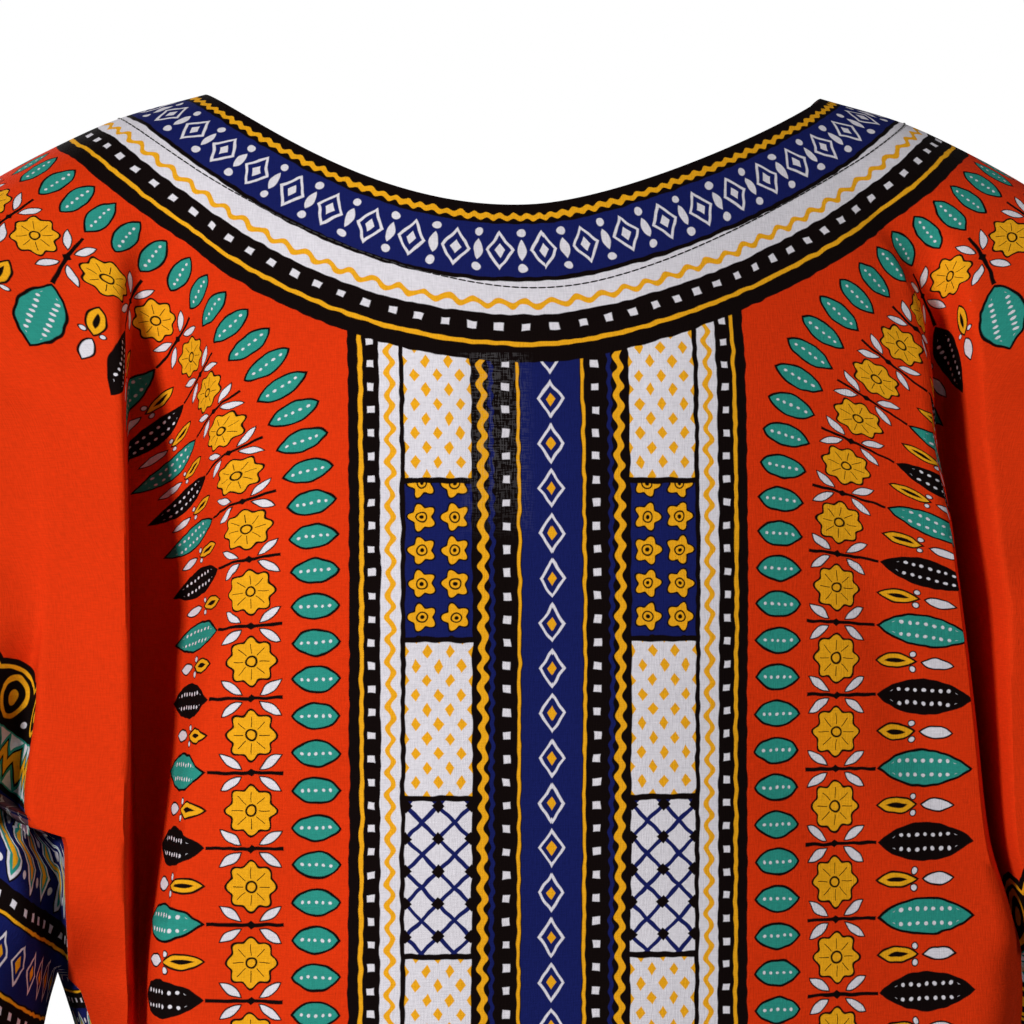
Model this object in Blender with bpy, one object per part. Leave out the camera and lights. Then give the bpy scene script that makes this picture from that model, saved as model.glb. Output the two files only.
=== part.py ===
"""A dashiki shirt as worn, hollow: kimono-cut front and back panels with half of each sleeve, and two facings.

The shirt hangs from the shoulders of a general figure that faces -Y, so the back panel lies at +Y and the
wearer's left is +X. Z = 0 is the height of the two points where the neck edge meets the shoulder seam, and the
origin lies midway between them. Every surface is a height field: a depth y over a place (x, z) on the shirt's
front view, worked out from the outline of the shoulder and sleeve, from the depth of the body and from tables
of the largest folds.
"""

from collections import namedtuple

import bpy
import numpy as np

# Driving dimensions, in metres.
NECK_HALF = 0.123
NECK_DROP_BACK = 0.0455
NECK_SAG_BACK = 0.004
NECK_DROP_FRONT = 0.170
NECK_CURVE = 1.8
V_BOW = 0.92
HEM_Z = -0.720
CLOTH = 0.0010
SEAM_GAP = 0.0003
FACING = 0.038

# The garment is built in two faces, back and front, each with a left (+X) and a right (-X) side.
BACK, FRONT = 1, -1
LEFT, RIGHT = 1, -1

# The top line: shoulder seam and upper edge of the sleeve, from the neck point to the cuff.
Top = namedtuple("Top", "x z")
TOP_LINE = (
    Top(0.123, 0.000),
    Top(0.155, -0.009),
    Top(0.180, -0.020),
    Top(0.211, -0.037),
    Top(0.238, -0.056),
    Top(0.258, -0.086),
    Top(0.272, -0.130),
    Top(0.285, -0.190),
    Top(0.300, -0.260),
    Top(0.318, -0.345),
)

# The line that the shoulders would follow on under the neck hole, used only to round the cloth beside it.
UNDER_NECK = (
    Top(0.000, 0.030),
    Top(0.062, 0.022),
)

# Depth of the body at its centre, and the share of it that is lost between these two places out to the arm.
FALL_START, FALL_END = 0.020, 0.215
Depth = namedtuple("Depth", "z back front fall")
DEPTHS = (
    Depth(0.000, 0.088, 0.088, 0.30),
    Depth(-0.060, 0.098, 0.100, 0.34),
    Depth(-0.120, 0.112, 0.112, 0.36),
    Depth(-0.200, 0.118, 0.118, 0.36),
    Depth(-0.370, 0.114, 0.116, 0.30),
    Depth(-0.540, 0.122, 0.124, 0.12),
    Depth(-0.720, 0.136, 0.136, 0.00),
)

# The slit between body and sleeve opens below the underarm: its edges, and how far each limb rounds inward.
UNDERARM = -0.346
Slit = namedtuple("Slit", "z body sleeve body_round sleeve_round")
SLITS = {
    LEFT: (
        Slit(UNDERARM, 0.1815, 0.1815, 0.045, 0.045),
        Slit(-0.358, 0.1775, 0.1850, 0.047, 0.045),
        Slit(-0.372, 0.1740, 0.1880, 0.050, 0.045),
        Slit(-0.420, 0.1750, 0.1960, 0.070, 0.048),
        Slit(-0.480, 0.1810, 0.2040, 0.100, 0.050),
        Slit(-0.600, 0.1960, 0.2200, 0.150, 0.050),
        Slit(HEM_Z, 0.2080, 0.2400, 0.180, 0.050),
    ),
    RIGHT: (
        Slit(UNDERARM, 0.2035, 0.2035, 0.030, 0.030),
        Slit(-0.358, 0.2045, 0.2060, 0.032, 0.032),
        Slit(-0.374, 0.2050, 0.2090, 0.038, 0.036),
        Slit(-0.424, 0.2060, 0.2190, 0.064, 0.045),
        Slit(-0.500, 0.2075, 0.2300, 0.100, 0.048),
        Slit(-0.600, 0.2100, 0.2440, 0.150, 0.048),
        Slit(HEM_Z, 0.2140, 0.2620, 0.180, 0.048),
    ),
}

# The deep fold that runs from the shoulder to the underarm: its bottom line, and its width to each side. The
# cloth falls into it over this many widths.
FOLD_REACH = 1.25
Fold = namedtuple("Fold", "z x depth body_width sleeve_width")
DEEP_FOLDS = {
    (BACK, LEFT): (
        Fold(-0.030, 0.1480, 0.000, 0.0260, 0.0200),
        Fold(-0.060, 0.1520, 0.004, 0.0260, 0.0150),
        Fold(-0.092, 0.1550, 0.013, 0.0250, 0.0060),
        Fold(-0.130, 0.1550, 0.036, 0.0230, 0.0040),
        Fold(-0.200, 0.1540, 0.050, 0.0170, 0.0035),
        Fold(-0.260, 0.1535, 0.050, 0.0080, 0.0033),
        Fold(-0.320, 0.1545, 0.042, 0.0037, 0.0024),
        Fold(-0.350, 0.1535, 0.032, 0.0024, 0.0024),
        Fold(-0.390, 0.1520, 0.026, 0.0060, 0.0050),
        Fold(-0.480, 0.1470, 0.022, 0.0220, 0.0140),
        Fold(-0.720, 0.1420, 0.018, 0.0400, 0.0340),
    ),
    (BACK, RIGHT): (
        Fold(-0.030, 0.1480, 0.000, 0.0220, 0.0200),
        Fold(-0.060, 0.1530, 0.005, 0.0200, 0.0130),
        Fold(-0.100, 0.1600, 0.020, 0.0130, 0.0050),
        Fold(-0.137, 0.1655, 0.040, 0.0080, 0.0040),
        Fold(-0.174, 0.1680, 0.046, 0.0035, 0.0032),
        Fold(-0.226, 0.1740, 0.046, 0.0026, 0.0024),
        Fold(-0.290, 0.1810, 0.040, 0.0024, 0.0024),
        Fold(-0.320, 0.1895, 0.026, 0.0030, 0.0030),
        Fold(-0.350, 0.1960, 0.008, 0.0060, 0.0030),
        Fold(-0.480, 0.1680, 0.018, 0.0240, 0.0180),
        Fold(-0.720, 0.1500, 0.016, 0.0380, 0.0340),
    ),
    (FRONT, LEFT): (
        Fold(0.000, 0.146, 0.000, 0.030, 0.024),
        Fold(-0.100, 0.154, 0.002, 0.030, 0.022),
        Fold(-0.160, 0.158, 0.011, 0.026, 0.018),
        Fold(-0.230, 0.159, 0.030, 0.017, 0.012),
        Fold(-0.290, 0.158, 0.040, 0.012, 0.010),
        Fold(-0.344, 0.156, 0.034, 0.012, 0.010),
        Fold(-0.480, 0.146, 0.022, 0.024, 0.020),
        Fold(-0.720, 0.138, 0.016, 0.040, 0.036),
    ),
    (FRONT, RIGHT): (
        Fold(0.000, 0.150, 0.000, 0.030, 0.024),
        Fold(-0.090, 0.158, 0.002, 0.028, 0.022),
        Fold(-0.160, 0.165, 0.014, 0.023, 0.017),
        Fold(-0.230, 0.170, 0.034, 0.015, 0.010),
        Fold(-0.290, 0.173, 0.040, 0.011, 0.008),
        Fold(-0.352, 0.175, 0.026, 0.011, 0.008),
        Fold(-0.480, 0.160, 0.024, 0.022, 0.018),
        Fold(-0.720, 0.146, 0.018, 0.040, 0.034),
    ),
}

# The groove that parts the flute under the arm from the sleeve. It ends just below the underarm.
GROOVE_FADE = 0.05
GROOVES = {
    LEFT: (
        Fold(-0.120, 0.2020, 0.000, 0.010, 0.014),
        Fold(-0.200, 0.1960, 0.002, 0.006, 0.014),
        Fold(-0.232, 0.1955, 0.016, 0.003, 0.014),
        Fold(-0.275, 0.2005, 0.030, 0.003, 0.014),
        Fold(-0.300, 0.1930, 0.032, 0.003, 0.012),
        Fold(UNDERARM, 0.1815, 0.024, 0.003, 0.010),
    ),
    RIGHT: (
        Fold(-0.120, 0.2140, 0.000, 0.010, 0.014),
        Fold(-0.220, 0.2080, 0.000, 0.008, 0.014),
        Fold(-0.300, 0.2040, 0.000, 0.006, 0.014),
        Fold(UNDERARM, 0.2035, 0.000, 0.003, 0.010),
    ),
}

# Soft flares that open towards the hem: x, width and depth at the hem, and the height where each starts.
Flare = namedtuple("Flare", "x width depth top")
FLARES = {
    BACK: (
        Flare(0.094, 0.022, 0.009, -0.42),
        Flare(0.046, 0.028, 0.011, -0.36),
        Flare(-0.018, 0.022, 0.007, -0.46),
        Flare(-0.078, 0.034, 0.013, -0.34),
    ),
    FRONT: (
        Flare(0.078, 0.030, 0.013, -0.32),
        Flare(0.014, 0.022, 0.008, -0.44),
        Flare(-0.052, 0.027, 0.012, -0.36),
        Flare(-0.104, 0.018, 0.008, -0.47),
    ),
}

# How the rows of the sleeve slant: a row at this height on the body meets the top line at that height.
Slant = namedtuple("Slant", "body top")
SLANTS = (
    Slant(-0.098, -0.088),
    Slant(-0.240, -0.180),
    Slant(-0.350, -0.250),
    Slant(-0.500, -0.345),
)
CUFF_INNER_Z = {LEFT: -0.440, RIGHT: -0.480}
YOKE_END = {BACK: -0.095, FRONT: -0.225}
FAN_BEND = 0.75

# Roundness inward from the top line, wide on the shoulder and narrow on the sleeve, and where it changes.
SHOULDER_ROUND, SLEEVE_ROUND = 0.130, 0.056
ROUND_START, ROUND_END = 0.140, 0.235

# Cells of the mesh: across each span between two fold lines, and down each region.
SPANS = {"centre": 7, "fold_in": 4, "fold_out": 3, "flute": 3, "groove": 2, "sleeve": 6}
GROOVE_COLUMN = sum(SPANS.values()) - SPANS["sleeve"]
FLUTE_EDGE = 0.006
FACING_ROWS = 3
YOKE_ROWS = {BACK: 5, FRONT: 6}
CHEST_ROWS = {BACK: 10, FRONT: 5}
BODY_ROWS = 9
BODY_ROW_GROWTH = 1.15
CUFF_ROWS = 6
FAN_STEPS = 100
TOP_STEPS = 90


def curve(knots, values, at):
    """A smooth curve through (knots, values) that never overshoots, with limited slopes at each knot."""
    order = np.argsort(knots)
    knots = np.asarray(knots, float)[order]
    values = np.asarray(values, float)[order]
    steps = np.diff(knots)
    slopes = np.diff(values) / steps
    tangents = np.zeros(len(knots))
    before, after = slopes[:-1], slopes[1:]
    same_way = before * after > 0
    harmonic = 2 * before * after / np.where(same_way, before + after, 1)
    tangents[1:-1] = np.where(same_way, harmonic, 0)
    tangents[0], tangents[-1] = slopes[0], slopes[-1]
    at = np.clip(at, knots[0], knots[-1])
    cell = np.clip(np.searchsorted(knots, at) - 1, 0, len(steps) - 1)
    width = steps[cell]
    t = (at - knots[cell]) / width
    rise = 3 * t**2 - 2 * t**3
    ease_in = (t**3 - 2 * t**2 + t) * width * tangents[cell]
    ease_out = (t**3 - t**2) * width * tangents[cell + 1]
    return values[cell] * (1 - rise) + values[cell + 1] * rise + ease_in + ease_out


def column(table, name, z):
    """One named column of a table whose rows are heights, at the heights z."""
    return curve([row.z for row in table], [getattr(row, name) for row in table], z)


def ramp(low, high, x):
    """0 below low, 1 above high, with a soft rise between."""
    t = np.clip((x - low) / (high - low), 0, 1)
    return t * t * (3 - 2 * t)


def round_over(distance, length):
    """0 at an edge and 1 from this length inward, as a quarter of a circle."""
    t = 1 - np.clip(distance / length, 0, 1)
    return np.sqrt(1 - t * t)


def top_runs():
    """Distances from the neck point to the rows of the top line's table."""
    x = np.array([row.x for row in TOP_LINE])
    z = np.array([row.z for row in TOP_LINE])
    return np.concatenate([[0], np.cumsum(np.hypot(np.diff(x), np.diff(z)))])


def top_line(length):
    """(x, z) on the top line at this distance from the neck point."""
    runs = top_runs()
    return curve(runs, [row.x for row in TOP_LINE], length), curve(runs, [row.z for row in TOP_LINE], length)


def top_length_at(z):
    """Distance from the neck point to where the top line reaches the height z."""
    length = np.linspace(0, top_runs()[-1], 4 * TOP_STEPS)
    return np.interp(-np.asarray(z), -top_line(length)[1], length)


def distance_to_top(x, z):
    """Distance in the front view from (x, z) to the top line, which is carried on under the neck hole."""
    line_x, line_z = top_line(np.linspace(0, top_runs()[-1], TOP_STEPS))
    line_x = np.concatenate([[row.x for row in UNDER_NECK], line_x])
    line_z = np.concatenate([[row.z for row in UNDER_NECK], line_z])
    best = np.full(np.shape(x), np.inf)
    for x0, z0, x1, z1 in zip(line_x[:-1], line_z[:-1], line_x[1:], line_z[1:]):
        run_x, run_z = x1 - x0, z1 - z0
        t = np.clip(((x - x0) * run_x + (z - z0) * run_z) / (run_x**2 + run_z**2), 0, 1)
        best = np.minimum(best, np.hypot(x - x0 - t * run_x, z - z0 - t * run_z))
    return best


def trough(offset, width_in, width_out):
    """1 on a fold's bottom line, falling softly to 0 over its width towards the body or the sleeve."""
    share = np.abs(offset) / np.where(offset < 0, width_in, width_out)
    return 1 - ramp(0, FOLD_REACH, share)


def slit_distance(x, z, side, limb):
    """Distance from the underarm point or, below it, from the slit's edge on this limb."""
    table = SLITS[side]
    point = table[0]
    above = np.hypot(x - point.body, z - point.z)
    edge = column(table, limb, z)
    below = edge - x if limb == "body" else x - edge
    return np.where(z >= point.z, above, np.maximum(below, 0))


def fold_depth(table, x, z):
    """Depth of a fold or groove at (x, z), from its table."""
    widths = column(table, "body_width", z), column(table, "sleeve_width", z)
    return column(table, "depth", z) * trough(x - column(table, "x", z), *widths)


def flare_depth(x, z, face):
    """Depth between the soft flares at x, negative on the right, and height z."""
    total = np.zeros(np.shape(x))
    for flare in FLARES[face]:
        grown = ramp(0, 1, (flare.top - z) / (flare.top - HEM_Z))
        total = total + flare.depth * grown * np.exp(-(((x - flare.x) / flare.width) ** 2))
    return total


def depth_of(x, z, face, side, limb):
    """Depth of the cloth from the plane through the seams, at x from the centre and height z."""
    middle = column(DEPTHS, "back" if face == BACK else "front", z)
    depth = middle * (1 - column(DEPTHS, "fall", z) * ramp(FALL_START, FALL_END, x))
    depth = depth - fold_depth(GROOVES[side], x, z) * ramp(UNDERARM - GROOVE_FADE, UNDERARM, z)
    deep = fold_depth(DEEP_FOLDS[face, side], x, z)
    if limb == "body":
        depth = depth - deep - flare_depth(side * x, z, face)
    else:
        depth = depth - deep * ramp(CUFF_INNER_Z[side], UNDERARM, z)
    shoulder = SHOULDER_ROUND + (SLEEVE_ROUND - SHOULDER_ROUND) * ramp(ROUND_START, ROUND_END, x)
    depth = depth * round_over(distance_to_top(x, z), shoulder)
    pinch = column(SLITS[side], limb + "_round", z)
    return depth * round_over(slit_distance(x, z, side, limb), pinch)


def neck_z(x, face):
    """Height of the neck edge at x, negative on the right: a scoop behind and a V in front."""
    share = np.abs(x) / NECK_HALF
    if face == FRONT:
        return -NECK_DROP_FRONT * (1 - share) ** V_BOW
    sag = NECK_SAG_BACK * np.sin(np.pi * np.clip(x / NECK_HALF, -1, 1))
    return -NECK_DROP_BACK * (1 - share**NECK_CURVE) - sag


def spread(start, end, cells):
    """Places after start, up to and with end, closer together at both ends."""
    t = (1 - np.cos(np.pi * np.linspace(0, 1, cells + 1)[1:])) / 2
    return start + (end - start) * t


def row_places(z, face, side):
    """(x, z) of one whole row above the underarm, from the centre over the folds to the top line."""
    fold = DEEP_FOLDS[face, side]
    bottom = column(fold, "x", z)
    body_crest = bottom - column(fold, "body_width", z)
    sleeve_crest = bottom + column(fold, "sleeve_width", z)
    groove = column(GROOVES[side], "x", z)
    flute_end = groove - column(GROOVES[side], "body_width", z)
    top_z = curve([row.body for row in SLANTS], [row.top for row in SLANTS], z)
    sleeve_x, sleeve_z = sleeve_row(groove, z, top_z)
    body_x = across(body_crest, bottom, sleeve_crest, flute_end, groove)
    heights = np.full(len(body_x), float(z))
    return np.concatenate([body_x, sleeve_x]), np.concatenate([heights, sleeve_z])


def body_row(z, face, side):
    """(x, z) of a row of the body below the underarm, from the centre to the side seam."""
    fold = DEEP_FOLDS[face, side]
    bottom = column(fold, "x", z)
    body_crest = bottom - column(fold, "body_width", z)
    edge = column(SLITS[side], "body", z)
    sleeve_crest = bottom + min(column(fold, "sleeve_width", z), 0.4 * (edge - bottom))
    flute_end = edge - min(FLUTE_EDGE, 0.35 * (edge - sleeve_crest))
    x = across(body_crest, bottom, sleeve_crest, flute_end, edge)
    return x, np.full(len(x), float(z))


def across(body_crest, bottom, sleeve_crest, flute_end, edge):
    """Places across the body from the centre to its edge, closer together where the cloth turns."""
    places = (
        np.linspace(0, body_crest, SPANS["centre"] + 1),
        spread(body_crest, bottom, SPANS["fold_in"]),
        spread(bottom, sleeve_crest, SPANS["fold_out"]),
        spread(sleeve_crest, flute_end, SPANS["flute"]),
        spread(flute_end, edge, SPANS["groove"]),
    )
    return np.concatenate(places)


def sleeve_row(inner_x, z, top_z):
    """(x, z) of a row across the sleeve, after its place at inner_x, out to the top line."""
    outer_x, outer_z = top_line(top_length_at(top_z))
    share = spread(0, 1, SPANS["sleeve"])
    return inner_x + (outer_x - inner_x) * share, z + (outer_z - z) * share


def yoke_rows(face, side):
    """Rows that fan out from the neck edge to the first whole row, the facing's rows first."""
    end_x, end_z = row_places(YOKE_END[face], face, side)
    share = end_x / end_x[-1]
    start_x = NECK_HALF * share
    start_z = neck_z(side * start_x, face)
    last = top_length_at(end_z[-1])

    def at(t):
        bend = FAN_BEND * t**2 * (1 - t)
        line_x, line_z = top_line(last * t)
        chord_x = start_x[-1] + (end_x[-1] - start_x[-1]) * (t + bend)
        chord_z = start_z[-1] + (end_z[-1] - start_z[-1]) * (t - bend)
        x = start_x + (end_x - start_x) * (t + bend) + share**2 * (line_x - chord_x)
        z = start_z + (end_z - start_z) * (t - bend) + share**2 * (line_z - chord_z)
        return x, z

    steps = np.linspace(0, 1, FAN_STEPS + 1)
    fan = [at(np.full(len(share), step)) for step in steps]
    path = np.array([(x, z, depth_of(x, z, face, side, "body")) for x, z in fan])
    run = np.cumsum(np.linalg.norm(np.diff(path, axis=0), axis=1), axis=0)
    run = np.concatenate([np.zeros((1, len(share))), run])
    facing_end = np.array([np.interp(FACING, run[:, i], steps) for i in range(len(share))])
    below = np.linspace(0, 1, YOKE_ROWS[face] + 1)[1:]
    levels = [facing_end * k / FACING_ROWS for k in range(FACING_ROWS + 1)]
    levels += [facing_end + (1 - facing_end) * k for k in below]
    return [at(level) for level in levels]


def half_panel(face, side):
    """Places of half a panel as three grids: its upper part, then its body and sleeve below the underarm."""
    rows = yoke_rows(face, side)
    chest = np.linspace(YOKE_END[face], UNDERARM, CHEST_ROWS[face] + 1)[1:]
    upper = np.array(rows + [row_places(z, face, side) for z in chest])
    down = np.linspace(0, 1, BODY_ROWS + 1)[1:] ** BODY_ROW_GROWTH
    body = [upper[-1][:, : GROOVE_COLUMN + 1]]
    body += [body_row(UNDERARM + (HEM_Z - UNDERARM) * share, face, side) for share in down]
    sleeve = [upper[-1][:, GROOVE_COLUMN:]]
    top_start = upper[-1][1, -1]
    for share in np.linspace(0, 1, CUFF_ROWS + 1)[1:]:
        z = UNDERARM + (CUFF_INNER_Z[side] - UNDERARM) * share
        inner_x = column(SLITS[side], "sleeve", z)
        x, heights = sleeve_row(inner_x, z, top_start + (TOP_LINE[-1].z - top_start) * share)
        sleeve.append((np.concatenate([[inner_x], x]), np.concatenate([[z], heights])))
    return upper, np.array(body), np.array(sleeve)


def half_points(face, side):
    """3-D points of half a panel's three grids, with the seam edges half a seam gap off the seam plane."""
    upper, body, sleeve = half_panel(face, side)
    grids = []
    for places, limb in ((upper, "body"), (body, "body"), (sleeve, "sleeve")):
        x, z = places[:, 0], places[:, 1]
        depth = np.maximum(depth_of(x, z, face, side, limb), SEAM_GAP / 2)
        depth[:, -1] = SEAM_GAP / 2
        if places is upper:
            depth[-1, GROOVE_COLUMN] = SEAM_GAP / 2
        if places is sleeve:
            depth[:, 0] = SEAM_GAP / 2
        grids.append(np.stack([side * x, face * depth, z], axis=2))
    return grids


class Sheet:
    """Points and triangles of one side of the cloth, with points at the same place shared."""

    def __init__(self):
        self.points = []
        self.seam = []
        self.faces = []
        self.facing = []
        self.known = {}

    def point(self, place, on_seam):
        key = tuple(np.round(place, 7))
        if key not in self.known:
            self.known[key] = len(self.points)
            self.points.append(place)
            self.seam.append(on_seam)
        index = self.known[key]
        self.seam[index] = self.seam[index] or on_seam
        return index

    def add(self, grid, turned, seam_first, seam_last, facing_rows=0):
        """Adds a grid of points, whose first rows may carry a facing."""
        rows, columns, _ = grid.shape
        index = np.empty((rows, columns), int)
        for i in range(rows):
            for j in range(columns):
                on_seam = (j == 0 and seam_first) or (j == columns - 1 and seam_last)
                index[i, j] = self.point(grid[i, j], on_seam)
        for i in range(rows - 1):
            for j in range(columns - 1):
                near, far = index[i, j], index[i + 1, j + 1]
                for ring in ((near, index[i + 1, j], far), (near, far, index[i, j + 1])):
                    self.faces.append(ring[::-1] if turned else ring)
                    self.facing.append(i < facing_rows)


    def normals(self):
        """Unit normals at the points, turned into the seam plane at the seams."""
        points, faces = np.array(self.points), np.array(self.faces)
        corners = points[faces]
        across = np.cross(corners[:, 1] - corners[:, 0], corners[:, 2] - corners[:, 0])
        total = np.zeros_like(points)
        for corner in range(3):
            np.add.at(total, faces[:, corner], across)
        total[np.array(self.seam), 1] = 0
        return total / np.linalg.norm(total, axis=1, keepdims=True)


def wall(name, sheet, keep, outer, thickness, material):
    """A closed wall on some faces of a sheet, with its outer side at the depth outer inside it."""
    faces = np.array(sheet.faces)[keep]
    used, faces = np.unique(faces, return_inverse=True)
    faces = faces.reshape(-1, 3)
    points, normals = np.array(sheet.points)[used], sheet.normals()[used]
    count = len(points)
    both = np.concatenate([points - normals * outer, points - normals * (outer + thickness)])
    edges = {(a, b) for face in faces for a, b in zip(face, np.roll(face, -1))}
    rim = [(b, a, a + count, b + count) for a, b in sorted(edges) if (b, a) not in edges]
    mesh = bpy.data.meshes.new(name)
    mesh.from_pydata(both.tolist(), [], faces.tolist() + (faces[:, ::-1] + count).tolist() + rim)
    mesh.materials.append(material)
    mesh.shade_smooth()
    mesh.set_sharp_from_angle(angle=np.radians(50))
    obj = bpy.data.objects.new(name, mesh)
    bpy.context.scene.collection.objects.link(obj)


def panel_with_facing(name, face, panel_material, facing_material):
    """A panel from both of its halves, and inside its neck edge a facing made from the panel's own points."""
    sheet = Sheet()
    for side in (LEFT, RIGHT):
        upper, body, sleeve = half_points(face, side)
        turned = face * side > 0
        sheet.add(upper, turned, False, True, FACING_ROWS)
        sheet.add(body, turned, False, True)
        sheet.add(sleeve, turned, True, True)
    everywhere = np.ones(len(sheet.faces), bool)
    wall(name, sheet, everywhere, 0.0, CLOTH, panel_material)
    wall("neck_facing_" + name, sheet, np.array(sheet.facing), CLOTH + SEAM_GAP, CLOTH, facing_material)


def cloth_material(name, colour):
    """Matt cotton."""
    material = bpy.data.materials.new(name)
    material.use_nodes = True
    shader = material.node_tree.nodes["Principled BSDF"]
    shader.inputs["Base Color"].default_value = (*colour, 1)
    shader.inputs["Roughness"].default_value = 0.85
    return material


def main():
    for obj in list(bpy.data.objects):
        bpy.data.objects.remove(obj, do_unlink=True)
    orange = cloth_material("printed_cotton", (0.72, 0.04, 0.006))
    black = cloth_material("facing_cotton", (0.012, 0.008, 0.008))
    panel_with_facing("back", BACK, orange, black)
    panel_with_facing("front", FRONT, orange, black)


main()
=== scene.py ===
"""A dashiki shirt as worn, with no wearer: printed cotton panels, neck facings and the stitches.

The cloth is a height field. Each place (x, z) on the shirt's front view has a depth y, worked out from the
outline of the shoulder and sleeve, the depth of the body, the large folds and a table of small creases. The
print is drawn in nodes over maps that are measured along the cloth: across and down the cut, along and away
from the neck edge, along and out from the printed outline, and around and up from each end of the cloth.
"""

from collections import namedtuple

import bpy
import numpy as np
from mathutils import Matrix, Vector


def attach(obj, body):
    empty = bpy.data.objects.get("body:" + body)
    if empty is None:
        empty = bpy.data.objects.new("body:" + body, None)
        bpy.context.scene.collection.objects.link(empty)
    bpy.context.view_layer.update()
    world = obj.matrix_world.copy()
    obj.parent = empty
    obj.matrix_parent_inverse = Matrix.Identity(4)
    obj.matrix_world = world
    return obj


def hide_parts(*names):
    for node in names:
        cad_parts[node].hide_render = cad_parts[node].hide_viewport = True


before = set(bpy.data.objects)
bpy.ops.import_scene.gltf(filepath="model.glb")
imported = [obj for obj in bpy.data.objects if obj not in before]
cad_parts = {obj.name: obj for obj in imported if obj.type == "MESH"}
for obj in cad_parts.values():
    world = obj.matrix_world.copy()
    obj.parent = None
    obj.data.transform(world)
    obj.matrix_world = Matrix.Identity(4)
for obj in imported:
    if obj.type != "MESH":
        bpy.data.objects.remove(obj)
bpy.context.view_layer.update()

# Dimensions of the cut and the figure, in metres, as in the part's solids.
NECK_HALF = 0.123
NECK_DROP_BACK = 0.0455
NECK_SAG_BACK = 0.004
NECK_DROP_FRONT = 0.170
NECK_CURVE = 1.8
V_BOW = 0.92
HEM_Z = -0.720
CLOTH = 0.0007
FACING = 0.038

# The garment is built in two faces, back and front, each with a left (+X) and a right (-X) side.
BACK, FRONT = 1, -1
LEFT, RIGHT = 1, -1

# The top line: shoulder seam and upper edge of the sleeve, from the neck point to the cuff.
Top = namedtuple("Top", "x z")
TOP_LINE = (
    Top(0.123, 0.000),
    Top(0.155, -0.009),
    Top(0.180, -0.020),
    Top(0.211, -0.037),
    Top(0.238, -0.056),
    Top(0.258, -0.086),
    Top(0.272, -0.130),
    Top(0.285, -0.190),
    Top(0.300, -0.260),
    Top(0.318, -0.345),
)

# The line that the shoulders would follow on under the neck hole, used only to round the cloth beside it.
UNDER_NECK = (
    Top(0.000, 0.030),
    Top(0.062, 0.022),
)

# Depth of the body at its centre, and the share of it that is lost between these two places out to the arm.
FALL_START, FALL_END = 0.020, 0.215
Depth = namedtuple("Depth", "z back front fall")
DEPTHS = (
    Depth(0.000, 0.088, 0.088, 0.30),
    Depth(-0.060, 0.098, 0.100, 0.34),
    Depth(-0.120, 0.112, 0.112, 0.36),
    Depth(-0.200, 0.118, 0.118, 0.36),
    Depth(-0.370, 0.114, 0.116, 0.30),
    Depth(-0.540, 0.122, 0.124, 0.12),
    Depth(-0.720, 0.136, 0.136, 0.00),
)

# The slit between body and sleeve opens below the underarm: its edges, and how far each limb rounds inward.
UNDERARM = -0.346
Slit = namedtuple("Slit", "z body sleeve body_round sleeve_round")
SLITS = {
    LEFT: (
        Slit(UNDERARM, 0.1815, 0.1815, 0.045, 0.045),
        Slit(-0.358, 0.1775, 0.1850, 0.047, 0.045),
        Slit(-0.372, 0.1740, 0.1880, 0.050, 0.045),
        Slit(-0.420, 0.1750, 0.1960, 0.070, 0.048),
        Slit(-0.480, 0.1810, 0.2040, 0.100, 0.050),
        Slit(-0.600, 0.1960, 0.2200, 0.150, 0.050),
        Slit(HEM_Z, 0.2080, 0.2400, 0.180, 0.050),
    ),
    RIGHT: (
        Slit(UNDERARM, 0.2035, 0.2035, 0.030, 0.030),
        Slit(-0.358, 0.2045, 0.2060, 0.032, 0.032),
        Slit(-0.374, 0.2050, 0.2090, 0.038, 0.036),
        Slit(-0.424, 0.2060, 0.2190, 0.064, 0.045),
        Slit(-0.500, 0.2075, 0.2300, 0.100, 0.048),
        Slit(-0.600, 0.2100, 0.2440, 0.150, 0.048),
        Slit(HEM_Z, 0.2140, 0.2620, 0.180, 0.048),
    ),
}

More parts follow.
